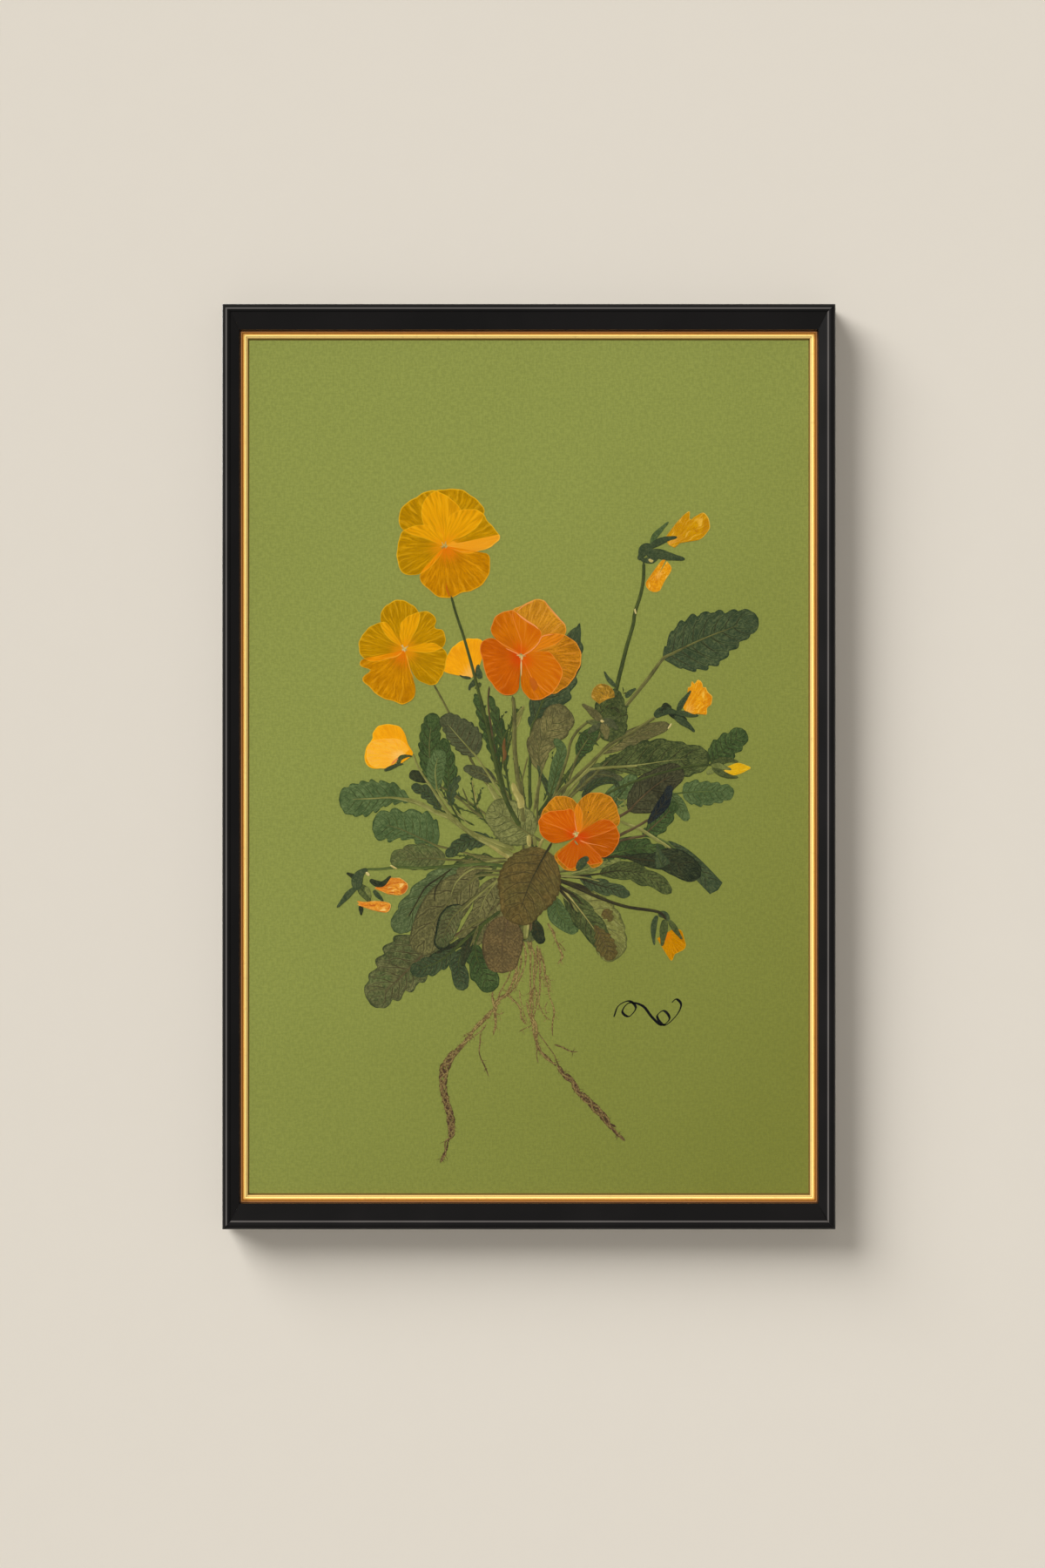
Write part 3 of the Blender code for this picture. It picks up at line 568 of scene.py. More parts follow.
LEAF_FINISH = finishes("leaf_", leaf_finish, LEAF_TONES)
PETAL_FINISH = finishes("petal_", petal_finish, PETAL_TONES)
STALK_FINISH = finishes("stalk_", stalk_finish, STALK_TONES)
ROOT = root_finish("root_skin", 0.95)
ROOT_CLEAN = root_finish("root_clean", 0.35)


# --- Curves on the card -------------------------------------------------------------------------
def curve(points, count, dense=12):
    """`count` evenly spaced places on a soft curve through the given points."""
    points = [np.array(point, float) for point in points]
    ends = [2 * points[0] - points[1]] + points + [2 * points[-1] - points[-2]]
    fine = []
    for a, b, c, d in zip(ends, ends[1:], ends[2:], ends[3:]):
        for step in range(dense):
            t = step / dense
            fine.append(0.5 * (
                2 * b + (c - a) * t + (2 * a - 5 * b + 4 * c - d) * t ** 2
                + (3 * b - a - 3 * c + d) * t ** 3
            ))
    fine = np.array(fine + [points[-1]])
    run = np.concatenate([[0], np.cumsum(np.linalg.norm(np.diff(fine, axis=0), axis=1))])
    wanted = np.linspace(0, run[-1], count)
    return np.stack([np.interp(wanted, run, fine[:, axis]) for axis in (0, 1)], 1)


def run_length(points):
    """Length of a line through the points."""
    return sum(math.dist(a, b) for a, b in zip(points, points[1:]))


def sideways(line):
    """The unit direction to the left of the line at each of its places."""
    ahead = np.gradient(line, axis=0)
    ahead /= np.linalg.norm(ahead, axis=1)[:, None] + 1e-9
    return np.stack([-ahead[:, 1], ahead[:, 0]], 1)


def depth_inside(place, outline):
    """Distance from a place to a closed outline, positive inside it."""
    start, end = outline, np.roll(outline, -1, axis=0)
    run, gap = end - start, place - start
    share = np.clip((gap * run).sum(1) / ((run ** 2).sum(1) + 1e-12), 0, 1)
    near = np.linalg.norm(gap - run * share[:, None], axis=1).min()
    over = (start[:, 1] > place[1]) != (end[:, 1] > place[1])
    rise = np.where(run[:, 1] == 0, 1e-9, run[:, 1])
    crossing = start[:, 0] + (place[1] - start[:, 1]) / rise * run[:, 0]
    inside = (over & (place[0] < crossing)).sum() % 2 == 1
    return near if inside else -near


# --- Pieces ----------------------------------------------------------------------------------------
SHARP_FOLD = math.radians(50)
SHARP_ARRIS = math.radians(28)


class Piece:
    """One named piece, gathered from thin sheets and tubes."""

    def __init__(self, name, slot, *nodes):
        self.name = name
        self.slot = slot
        self.nodes = [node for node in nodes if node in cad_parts]
        self.bm = bmesh.new()
        self.grain = self.bm.verts.layers.float_vector.new("grain")
        self.finishes = []

    def patch(self, columns, rows, finish, shape, thickness=SHEET):
        """A grid bent by shape(across -1..1, along 0..1), which gives a place, lift and grain."""
        if finish not in self.finishes:
            self.finishes.append(finish)
        made = bmesh.ops.create_grid(self.bm, x_segments=columns, y_segments=rows, size=0.5)
        verts = made["verts"]
        faces = {face for vert in verts for face in vert.link_faces}
        for vert in verts:
            place, lift, grain = shape(vert.co.x * 2, vert.co.y + 0.5)
            vert[self.grain] = grain
            vert.co = (place[0] * MM, CARD_FACE - lift * MM, place[1] * MM + MIDDLE_Z)
        for face in faces:
            face.material_index = self.finishes.index(finish)
            face.smooth = True
        bmesh.ops.remove_doubles(self.bm, verts=verts, dist=CLOSE)
        if thickness:
            faces = [face for face in faces if face.is_valid]
            grown = bmesh.ops.extrude_face_region(self.bm, geom=faces)
            moved = [item for item in grown["geom"] if isinstance(item, bmesh.types.BMVert)]
            bmesh.ops.translate(self.bm, vec=(0, thickness * MM, 0), verts=moved)

    def finish(self):
        loose = [vert for vert in self.bm.verts if not vert.link_faces]
        bmesh.ops.delete(self.bm, geom=loose, context="VERTS")
        bmesh.ops.dissolve_degenerate(self.bm, edges=self.bm.edges, dist=CLOSE / 4)
        self.bm.normal_update()
        bmesh.ops.recalc_face_normals(self.bm, faces=self.bm.faces)
        mesh = bpy.data.meshes.new(self.name)
        self.bm.to_mesh(mesh)
        self.bm.free()
        mesh.set_sharp_from_angle(angle=SHARP_FOLD)
        piece = bpy.data.objects.new(self.name, mesh)
        bpy.context.scene.collection.objects.link(piece)
        for finish in self.finishes:
            mesh.materials.append(finish)
        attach(piece, "root")
        if self.nodes:
            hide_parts(*self.nodes)
        return piece


BASE_ROUNDING = 0.06        # share of a blade's length in which its base rounds out
SOFTENING = 0.05            # a half width is averaged over this share to each side
TOOTH_SHIFT = 0.3           # teeth on the left come this share of a tooth before the right's


def blade(piece, route, left, right, lift, finish, teeth=0, tooth=0.0, cap=0.8, columns=20, rows=30):
    """A leaf blade along a route. Half widths on each side are given at even stations."""
    rows = max(rows, teeth * 10)
    line = curve(route, rows + 1)
    aside = sideways(line)
    stations = np.linspace(0, cap, len(left))
    phase = line[0][0] * 0.7 + line[0][1] * 0.4

    def half(widths, along):
        if along <= cap:
            return float(np.interp(along, stations, widths))
        return widths[-1] * math.sqrt(max(0.0, 1 - ((along - cap) / (1 - cap)) ** 2))

    def soft(widths, along):
        near = [along + step for step in (-SOFTENING, 0, SOFTENING)]
        near = [half(widths, min(1.0, max(0.0, share))) for share in near]
        return near[1] if along > 0.9 else sum(near) / 3

    def shape(across, along):
        width = soft(left if across > 0 else right, along)
        width *= math.sqrt(1 - max(0.0, 1 - along / BASE_ROUNDING) ** 2)
        if teeth:
            share = (along * teeth + (TOOTH_SHIFT if across > 0 else 0)) % 1
            lobe = 1.35 * (math.sin(math.pi * share ** 2.1) ** 0.65 - 0.6)
            uneven = 1 + 0.35 * math.sin(math.floor(along * teeth) * 2.3 + phase)
            fade = math.sin(math.pi * min(1, along * 1.02)) ** 0.4
            width += tooth * uneven * lobe * abs(across) ** 3 * fade
        offset = across * width
        ripple = math.sin(along * 23 + phase) * math.sin(abs(across) * 3 + phase) * 0.035
        midrib = 0.06 * math.exp(-(offset / 0.7) ** 2)
        row = min(int(along * rows + 1e-6), rows - 1)
        share = along * rows - row
        centre = line[row] * (1 - share) + line[row + 1] * share
        side = aside[row] * (1 - share) + aside[row + 1] * share
        return centre + side * offset, lift + ripple + midrib, (across, along, 0)

    piece.patch(columns, rows, finish, shape)
    return shape


VEINS_START = 0.07          # share of the blade at which the first pair leaves the midrib
VEINS_RUN = 0.78            # share over which the pairs are spread
VEIN_REACHES = (0.03, 0.35, 0.65, 0.88)
VEIN_RADII = (0.22, 0.18, 0.12, 0.05)
SHORTEST_VEIN = 3.2


def side_veins(piece, surface, pairs, lift, finish):
    """Thin raised veins that leave the midrib in pairs and curve forward to the margin."""
    for step in range(pairs):
        first = VEINS_START + VEINS_RUN * step / pairs
        for side in (-1, 1):
            foot = first + (0.03 if side > 0 else 0)
            path = []
            for reach in VEIN_REACHES:
                place, _, _ = surface(side * reach, foot + 0.17 * reach ** 1.3)
                path.append(tuple(place))
            if run_length(path) > SHORTEST_VEIN:
                tube(piece, path, VEIN_RADII, lift, finish, sides=4, flat=0.5)


RING_SPACING = 1.6
GRAIN_LENGTH = 20           # length of stalk over which its ribs' pattern runs once


def tube(piece, route, radii, lift, finish, sides=8, flat=0.6):
    """A stalk, vein or root: a round strand pressed a little flat, tapered to its ends."""
    length = run_length(route)
    rows = max(6, min(60, round(length / RING_SPACING)))
    line = curve(route, rows + 1)
    aside = sideways(line)
    stations = np.linspace(0, 1, len(radii))

    def shape(across, along):
        row = round(along * rows)
        radius = float(np.interp(along, stations, radii)) * (0 if row in (0, rows) else 1)
        angle = math.pi * across
        place = line[row] + aside[row] * math.cos(angle) * radius
        grain = (across, along * length / GRAIN_LENGTH, 0)
        return place, lift + math.sin(angle) * radius * flat, grain

    piece.patch(sides, rows, finish, shape, thickness=0)


def petal(piece, eye, rim, lift, finish, under=(), columns=56, rows=18):
    """A petal fanned from the flower's eye out to its rim, over the outlines under it."""
    edge = curve(rim, columns + 1)
    phase = eye[0] * 0.3 + edge[columns // 2][0] * 0.5

    def shape(across, along):
        column = round((across + 1) / 2 * columns)
        flutter = 1 + 0.005 * (math.sin(column * 1.3 + phase) + math.sin(column * 0.7)) * along ** 6
        place = eye + (edge[column] - eye) * (along ** 0.85) * flutter
        pleat = 0.04 * math.sin(column * 0.55 + phase) * along
        over = max([depth_inside(place, outline) for outline in under], default=-FAR)
        return place, lift + pleat, (across, along, max(-FAR, min(FAR, over)))

    piece.patch(columns, rows, finish, shape)


# --- The black rails and the gilt slips ----------------------------------------------------------
SIDES = {"top": 0, "right": 90, "bottom": 180, "left": 270}
# inset of the painted highlight line on each rail's bead: outer side on the top and left rails, inner side
# on the right and bottom ones
BEAD_HIGHLIGHT_AT = {"top": 2.4, "right": 3.9, "bottom": 4.2, "left": 2.2}
ARRIS = 0.25                # how far the rails' and slips' inner arrises are eased
HOLLOW_START = COVERED - 0.4   # the slip's hollow and bead, by inset and depth
HOLLOW_WIDTH = 1.9
HOLLOW_DEPTH = 0.5
HOLLOW_STEPS = 8
SLIP_BEAD_START = COVERED + 1.5
SLIP_BEAD_WIDTH = 2.5
SLIP_BEAD_RISE = 0.35
SLIP_BEAD_STEPS = 12


def bead_foot():
    """Inset of the line where the rail's face leaves its bead."""
    return BEAD + math.sqrt(BEAD ** 2 - (SLOPE_TOP - FRAME_DEPTH + BEAD) ** 2)


def rail_profile(face):
    """Round the rail's section as (inset, depth): bead, sloping face, lip and rebate."""
    crown = FRAME_DEPTH - BEAD
    sweep = math.pi - math.asin((SLOPE_TOP - crown) / BEAD)
    points = [(0, 0)]
    for step in range(BEAD_STEPS + 1):
        angle = math.pi - sweep * step / BEAD_STEPS
        points.append((BEAD + BEAD * math.cos(angle), crown + BEAD * math.sin(angle)))
    lip_back = -GLASS_FRONT / MM + GAP
    points += [(face - ARRIS, SLOPE_FOOT + 0.02), (face, SLOPE_FOOT - ARRIS)]
    points += [(face, lip_back), (face - LEDGE, lip_back), (face - LEDGE, 0)]
    return points


def slip_profile():
    """Round the slip's section: flat under the lip, hollow, bead and sloped inner edge."""
    points = [(0, SLIP_BACK), (0, SLIP_FRONT), (COVERED - 1, SLIP_FRONT)]
    for step in range(HOLLOW_STEPS + 1):
        share = step / HOLLOW_STEPS
        sunk = HOLLOW_DEPTH * math.sin(math.pi * share)
        points.append((HOLLOW_START + HOLLOW_WIDTH * share, SLIP_FRONT - sunk))
    for step in range(1, SLIP_BEAD_STEPS + 1):
        share = step / SLIP_BEAD_STEPS
        swell = SLIP_BEAD_RISE * (math.sin(math.pi * min(1.0, share * 1.3)) - share ** 4 - 1)
        points.append((SLIP_BEAD_START + SLIP_BEAD_WIDTH * share, SLIP_FRONT + swell))
    return points + [(SLIP_WIDTH - ARRIS, SLIP_BACK + 0.5), (SLIP_WIDTH, SLIP_BACK)]


def mitred_bar(name, node, side, across, along, profile, seam, finish, slot):
    """A moulding along one side of the frame, cut at its ends to meet its neighbours."""
    piece = Piece(name, slot, node)
    piece.finishes.append(finish)
    ring = []
    for inset, depth in profile:
        vert = piece.bm.verts.new((0, -depth * MM, (across - inset) * MM))
        vert[piece.grain] = (inset, 0, 0)
        ring.append(vert)
    end = piece.bm.faces.new(ring)
    grown = bmesh.ops.extrude_face_region(piece.bm, geom=[end])
    far = {item for item in grown["geom"] if isinstance(item, bmesh.types.BMVert)}
    for vert in piece.bm.verts:
        inset = across - vert.co.z / MM
        reach = (along - seam(inset) - MITRE_GAP) * MM
        vert.co.x = reach if vert in far else -reach
        vert[piece.grain] = (inset, vert.co.x / MM, 0)
    for face in piece.bm.faces:
        face.smooth = len(face.verts) == 4
    turn = math.radians(SIDES[side])
    for vert in piece.bm.verts:
        x, z = vert.co.x, vert.co.z
        vert.co.x = x * math.cos(turn) + z * math.sin(turn)
        vert.co.z = z * math.cos(turn) - x * math.sin(turn) + MIDDLE_Z
    caps = [face for face in piece.bm.faces if len(face.verts) > 4]
    bmesh.ops.triangulate(piece.bm, faces=caps)
    made = piece.finish()
    made.data.set_sharp_from_angle(angle=SHARP_ARRIS)
    return made


def rail_seam(own_face, other_face):
    """The mitre's line, which bends past the beads because the faces differ in width."""
    foot = bead_foot()

    def seam(inset):
        if inset <= foot:
            return inset
        return foot + (inset - foot) * (other_face - foot) / (own_face - foot)

    return seam


def build_rails_and_slips():
    gilt = gilt_finish()
    for side in SIDES:
        level = side in ("top", "bottom")
        lacquer = lacquer_finish("lacquer_" + side, level, BEAD_HIGHLIGHT_AT[side])
        face, other = (FACE_END, FACE_SIDE) if level else (FACE_SIDE, FACE_END)
        across, along = FRAME_HEIGHT / 2, FRAME_WIDTH / 2
        fill_across, fill_along = FILL_HEIGHT / 2, FILL_WIDTH / 2
        if not level:
            across, along = along, across
            fill_across, fill_along = fill_along, fill_across
        mitred_bar("lacquered_rail_" + side, "rail_" + side, side, across, along,
                   rail_profile(face), rail_seam(face, other), lacquer, "black_lacquer")
        mitred_bar("gilt_slip_" + side, "slip_" + side, side, fill_across, fill_along,
                   slip_profile(), lambda inset: inset, gilt, "gilt")


def dress_frame_nodes():
    """Finishes for the CAD pieces that stay as they are."""
    dress = {"glazing": glass_finish(), "mount_card": card_finish(), "backing_board": board_finish()}
    steel = steel_finish()
    for name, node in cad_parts.items():
        if name.startswith(("framer_point", "hanger_pin", "sawtooth")):
            dress[name] = steel
    for name, material in dress.items():
        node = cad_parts[name]
        node.data.materials.clear()
        node.data.materials.append(material)


# --- The plant ---------------------------------------------------------------------------------------
# name, layer, tone, route from the stem to the tip, number of the place on it where the blade
# starts, half widths on the left, half widths on the right (None: as on the left), teeth on a
# side, their size, tone of the petiole, its radius, share of the blade before its round tip
LEAVES = [
    ("upper_right", 3, "bottle",
     [(4, -29.5), (14.5, -11.5), (27.5, 5.5), (41.5, 21.5), (54, 36), (62.5, 46.5), (69.5, 56), (82, 62.5),
      (97, 69), (119, 77)],
     6, (1, 9.8, 13.4, 13.4, 10.8, 8), (1, 12.4, 15, 15.4, 12, 8), 8, 1.4, "olive", 0.85),
    ("behind_orange", 3, "bottle",
     [(0.5, -22.5), (0.5, 0), (1.5, 19.5), (7.5, 34.5), (16, 51.5), (22, 64), (26.5, 74.5)],
     2, (2, 6, 8, 8, 6.2, 0.6), (1, 11, 12, 10.5, 7.2, 0.6), 7, 1.4, "pine", 0.7, 0.98),
    ("upright_left", 5, "fern",
     [(-8, -36), (-28, -20.5), (-41.5, -12.5), (-49, -9), (-51, 0), (-51.5, 13.5), (-49.5, 28)],
     3, (1, 5, 5.5, 5.5, 5), (1, 4.5, 5.5, 6, 5), 8, 0.7, "olive", 0.5),
    ("grey", 13, "slate",
     [(-7, -30.5), (-11.5, -19.5), (-21, -4), (-27.5, 5.5), (-35.5, 14.5), (-45.5, 26)],
     3, (1, 5, 5.4, 5.3, 3.6), (3.5, 9.8, 10.6, 9.4, 6.8), 7, 0.7, "lime", 0.5),
    ("far_left", 9, "green",
     [(-7, -43), (-30, -34), (-41, -26.5), (-48.5, -23.5), (-55.5, -19.5), (-61.5, -17.5), (-71, -16),
      (-82, -16.5), (-98.5, -17)], 5, (1, 3, 4.8, 9, 8.8), (1, 7, 9, 9.5, 7.8), 7, 1.2, "lime", 1),
    ("left", 7, "green",
     [(-3.5, -47.5), (-21.5, -47.5), (-35, -44), (-47.5, -41), (-57.5, -36.5), (-67.5, -32), (-81, -28.5)],
     3, (1, 2.7, 3, 6, 9), (5, 13.5, 13.5, 10.5, 8), 5, 1.7, "olive", 0.5),
    ("grey_green", 8, "sage",
     [(-21.5, -49.5), (-35, -48.5), (-43, -48), (-53, -47.5), (-62, -48), (-72, -49)],
     2, (2, 5, 6, 5.5, 4), (3, 6, 7.5, 8, 6), 4, 0.8, "olive", 0.45),
    ("olive_brown", 9, "umber",
     [(3, -22.5), (5, -11.5), (6.5, -2.5), (5, 5.5), (6.5, 13.5), (11.5, 21.5), (19, 31.5)],
     2, (1, 5, 7.2, 7.5, 7), (1, 5, 7.5, 9, 10), 4, 1, "olive", 0.5),
    ("rolled_green", 11, "green", [(6.5, -22.5), (11, -14.5), (13.5, -6), (15, 1), (17, 9), (13, 14.5)],
     1, (1.5, 3, 3.5, 3.5, 2.5), (1.5, 3, 3.5, 3, 2.5), 0, 0, "pine", 0.5),
    ("narrow_centre", 10, "bottle", [(13, -19), (9.5, -10), (6.5, -4.5), (4.5, 1)],
     0, (0.8, 1.8, 1.8, 1.5, 1), None, 0, 0, "pine", 0.4),
    ("long_right", 8, "moss",
     [(11, -29.5), (21.5, -11.5), (31, -2), (41.5, -0.5), (57.5, 1), (75.5, 3.5), (94, 4.5)],
     2, (1, 6, 11.5, 12.5, 8), (1, 3, 5, 8, 9), 7, 0.9, "lime", 0.6),
    ("purple", 12, "plum", [(21.5, -41.5), (37, -31.5), (51.5, -23), (59.5, -15), (67.5, -8.5), (80, -1)],
     2, (1.5, 7, 9, 8, 6.5), (2, 9, 10.5, 9, 6), 3, 0.5, "russet", 0.6),
    ("purple_fold", 14, "indigo", [(61.5, -29.5), (67, -22.5), (71, -16.5), (73.5, -9.5)],
     0, (0.6, 2, 2.6, 3, 2.2), (0.6, 2.2, 3, 3.4, 2.2), 0, 0, "dark", 0.2),
    ("under_purple", 6, "fern",
     [(23.5, -41.5), (37, -40.5), (53, -37), (59, -36), (65, -30.5), (71, -25), (76, -18)],
     3, (1, 3, 4, 4, 3), (1, 5, 6, 5, 3.5), 4, 0.8, "russet", 0.5),
    ("small_oval", 5, "green", [(72.5, -13.5), (76, -17), (78.5, -21.5), (82.5, -28)],
     0, (1, 2.5, 3.4, 3.4, 2.6), None, 0, 0, "pine", 0.3),
    ("far_right", 3, "fern",
     [(11, -28), (41.5, -16), (68.5, -7), (86.5, 0), (93.5, 3), (100, 8), (105.5, 13), (112.5, 18.5)],
     4, (2, 6.5, 7, 6, 5), (2, 6, 6.5, 6.5, 5.5), 4, 1, "pine", 0.4),
    ("small_right", 4, "green",
     [(14.5, -31.5), (41.5, -22.5), (64, -16), (79.5, -13.5), (89, -13), (98, -13), (106.5, -13)],
     3, (4, 6.3, 5.5, 5, 4), (3, 7, 7.5, 6.5, 5), 5, 0.9, "green", 0.35),
    ("cut_strip", 3, "bottle",
     [(10, -47.5), (32.5, -40.5), (59.5, -36), (71, -39), (80, -45.5), (88, -53), (98, -64)],
     3, (1.5, 3.5, 4, 4.2, 4.4), (1.5, 4.5, 5, 4.8, 4.4), 0, 0, "green", 0.5, 0.97),
    ("folded_dark", 8, "night",
     [(14.5, -47.5), (32.5, -47), (47, -46.5), (62, -48.5), (75.5, -49.5), (89, -57)],
     2, (1, 2, 5, 7, 6.5), (0.5, 2, 3.5, 7, 6.5), 2, 0.8, "dark", 0.5),
    ("fold_triangle", 10, "bottle", [(69.5, -52), (67.5, -47), (66.5, -39.5)],
     0, (3.6, 3, 2.2, 1.5, 0.6), (4.5, 4.2, 3.2, 2, 0.8), 0, 0, "pine", 0.3),
    ("lobed_right", 5, "fern", [(19, -49.5), (37, -47), (48.5, -44), (59.5, -42), (72.5, -44)],
     1, (3, 8, 7, 5, 3), (1, 3, 4, 4, 3), 5, 1.2, "green", 0.4),
    ("low_right", 5, "moss",
     [(10, -55), (28, -53), (37, -52), (48.5, -53), (59.5, -56.5), (67.5, -60), (74, -65.5)],
     2, (2, 4, 5, 4.5, 3.5), (2, 4, 4.5, 5, 4), 3, 0.8, "olive", 0.5),
    ("brown_olive_right", 9, "moss", [(17, -57.5), (36.5, -55.5), (45.5, -54), (53, -54.5), (62.5, -56)],
     1, (1, 3.5, 3.6, 2.4, 1.2), (1, 3, 5, 4, 2.4), 3, 0.6, "dark", 0.4),
    ("pale_right", 7, "pale", [(21.5, -55.5), (29, -53.5), (37, -51), (48, -48)],
     0, (1, 2, 2.4, 2, 1.2), None, 0, 0, "lime", 0.4),
    ("dark_right", 7, "bottle", [(14.5, -56.5), (26, -57.5), (35, -61), (44, -63.5), (52.5, -66.5)],
     1, (1, 3, 3.6, 3.4, 3), (1, 3.4, 4.4, 4, 3), 3, 1, "dark", 0.6),
    ("papery", 2, "papery",
     [(4, -58.5), (11, -59.5), (17.5, -63.5), (27.5, -74.5), (37, -86.5), (43.5, -101)],
     2, (2, 10, 14, 14.5, 11.5), (2, 4, 6, 6.5, 6), 9, 0.5, "lime", 0.6),
    ("papery_core", 4, "moss",
     [(9.5, -57.5), (17.5, -63.5), (23.5, -70.5), (30.5, -79.5), (37, -89), (43.5, -99)],
     1, (1, 5, 6, 6.5, 5), (1, 5.5, 7, 6, 5), 4, 0.5, "straw", 0.6),
    ("papery_tip", 6, "brown", [(34, -82), (38, -89), (43.5, -100)],
     0, (0.4, 2.6, 4.4, 5.2, 4.2), (0.4, 2.2, 4.2, 5.4, 4.2), 6, 0.9, "russet", 0.2),
    ("papery_spot", 5, "brown", [(39, -74), (41, -77), (43, -80)],
     0, (1, 2.6, 3, 2.6, 1.8), (1, 2.6, 3.2, 2.4, 1.6), 3, 0.8, "russet", 0.15),
    ("over_lip", 27, "bottle", [(25, -53.5), (26.5, -51), (28.5, -48.5), (31, -47)],
     0, (1, 2, 2.2, 1.6), (1, 2, 2.4, 1.6), 0, 0, "pine", 0.2),
    ("low_green", 1, "green", [(4, -72), (9.5, -70), (14.5, -68), (15, -75), (19, -80.5), (25.5, -85.5)],
     2, (1, 4, 4.5, 5, 4), (2, 5, 6, 5, 4), 0, 0, "green", 0.4),
    ("dark_oval", 5, "night", [(0.5, -74.5), (2, -79), (4, -84), (5.5, -88.5), (7.5, -91.5)],
     1, (1, 2.5, 3.4, 3.2, 2.6), None, 0, 0, "dark", 0.4),
    ("brown", 17, "brown", [(12, -39), (9.5, -43.5), (4.5, -52.5), (-0.5, -63), (-7, -81.5)],
     1, (5, 13, 16, 15, 10), (6, 14, 17, 16, 11), 12, 0.5, "dark", 0.5),
    ("brown_low", 13, "dust", [(-5, -72), (-10, -77.5), (-12.5, -85.5), (-14, -95.5), (-13.5, -107)],
     1, (3, 9.5, 10.5, 10.5, 8.5), (3, 9, 10.5, 10.5, 8.5), 0, 0, "russet", 0.5),
    ("round_olive", 15, "olive", [(7.5, -39), (2, -36), (-4, -32), (-11.5, -26.5), (-21, -21)],
     1, (5, 10, 12, 11.5, 8.5), (5, 10, 11, 10.5, 8), 10, 0.4, "olive", 0.6),
    ("bottom_left", 2, "heather",
     [(-14.5, -70), (-28, -81), (-39.5, -88), (-47, -91.5), (-55.5, -98), (-66.5, -109), (-82, -123.5)],
     3, (3, 8, 10.5, 8.5, 7), (5, 15, 17.5, 15, 11), 6, 1.9, "russet", 0.5),
    ("lower_left", 4, "teal",
     [(-3.5, -54), (-17, -54), (-30.5, -54), (-44, -59.5), (-56.5, -70), (-70, -85.5)],
     2, (2, 7, 9, 9, 7), (2, 7, 8, 8, 6.5), 5, 1, "olive", 0.5),
    ("taupe", 6, "taupe",
     [(-5, -56.5), (-17.5, -56), (-26.5, -56.5), (-37, -65.5), (-48.5, -79), (-57.5, -97.5)],
     2, (3, 9, 11, 11, 8), (3, 9.5, 11.5, 10.5, 8.5), 0, 0, "olive", 0.6),
    ("oval_ringed", 8, "heather",
     [(-21.5, -63), (-28, -67.5), (-34, -72.5), (-40.5, -79.5), (-46.5, -93.5)],
     2, (1, 4, 5.5, 5.5, 4.5), (1.5, 5, 5.5, 4.5, 3.5), 0, 0, "olive", 0.5),
    ("oval_ring", 7, "night", [(-20.5, -62), (-28, -67), (-34.5, -72), (-41, -79.5), (-47, -94.5)],
     2, (1.2, 4.2, 5.8, 5.8, 4.8), (1.8, 5.4, 6, 5, 4), 0, 0, "dark", 0.3),
    ("fill_taupe", 3, "taupe", [(-5, -58.5), (-13, -66.5), (-23, -79.5), (-35, -92)],
     1, (3, 8, 9, 9, 7), (3, 8, 9, 8, 6), 0, 0, "olive", 0.5),
    ("fill_upper", 3, "moss", [(-3.5, -47.5), (-16, -49.5), (-30.5, -53), (-43, -61.5)],
     1, (2, 6, 7, 7, 5), None, 4, 0.8, "olive", 0.5),
    ("russet_middle", 7, "umber", [(-5, -47.5), (-17.5, -48.5), (-27, -50.5), (-37.5, -56)],
     1, (1, 3.4, 4.6, 4.4, 3.4), (1, 3.4, 4.4, 4, 3), 0, 0, "lime", 0.6),
    ("low_sage", 4, "sage", [(-4, -70.5), (-2.5, -76.5), (-0.5, -84), (0.5, -91)],
     1, (1, 4, 5, 5, 4), None, 4, 0.6, "olive", 0.4),
    ("low_moss", 5, "moss", [(5.5, -59.5), (2, -72), (-1.5, -82), (-3.5, -90)],
     1, (2, 4, 5, 5, 3), None, 0, 0, "olive", 0.4),
    ("taupe_right", 9, "taupe", [(-8, -56), (-15.5, -58), (-22.5, -67.5), (-27, -80.5)],
     1, (2, 4.5, 5.5, 5.5, 4.5), (2, 4.5, 5.5, 5, 4), 0, 0, "lime", 0.5),
    ("small_green", 9, "bottle",
     [(-14.5, -74.5), (-28, -85), (-38.5, -94.5), (-46, -100.5), (-53, -103.5), (-61.5, -106)],
     2, (2, 4, 5, 5.5, 4.5), (1, 3, 4.5, 4.5, 4), 4, 0.8, "pine", 0.7),
    ("tuft_left", 5, "bottle", [(-26.5, -84.5), (-34, -94.5), (-36.5, -102.5), (-34, -116)],
     1, (2, 3.5, 4, 4.5, 4), (2, 4, 4.5, 4.5, 4), 2, 0.6, "pine", 0.4),
    ("dark_tuft", 6, "fern",
     [(-14.5, -74.5), (-23, -81), (-28, -92), (-27, -99), (-23, -108), (-18.5, -116.5)],
     2, (2, 4, 6.5, 7, 6), (3, 5, 6, 7, 5.5), 3, 0.8, "pine", 0.5),
    ("dark_fold", 7, "night", [(-21.5, -79), (-30.5, -86.5), (-32.5, -94.5), (-34.5, -103.5)],
     1, (1, 2.5, 3, 2.5, 1.5), None, 0, 0, "dark", 0.4),
    ("dark_fold_low", 8, "night", [(-32, -89), (-39.5, -93.5), (-46, -96), (-52, -99)],
     0, (1, 2, 2, 1.5, 1), (1, 2.4, 2, 1.5, 1), 0, 0, "dark", 0.3),
    ("green_middle", 10, "bottle", [(-8, -43), (-18.5, -38.5), (-28, -38), (-35.5, -40.5), (-43, -46.5)],
     1, (1, 3.5, 4.5, 4, 3), (1, 4, 4.5, 4, 3), 5, 0.8, "pine", 0.4),
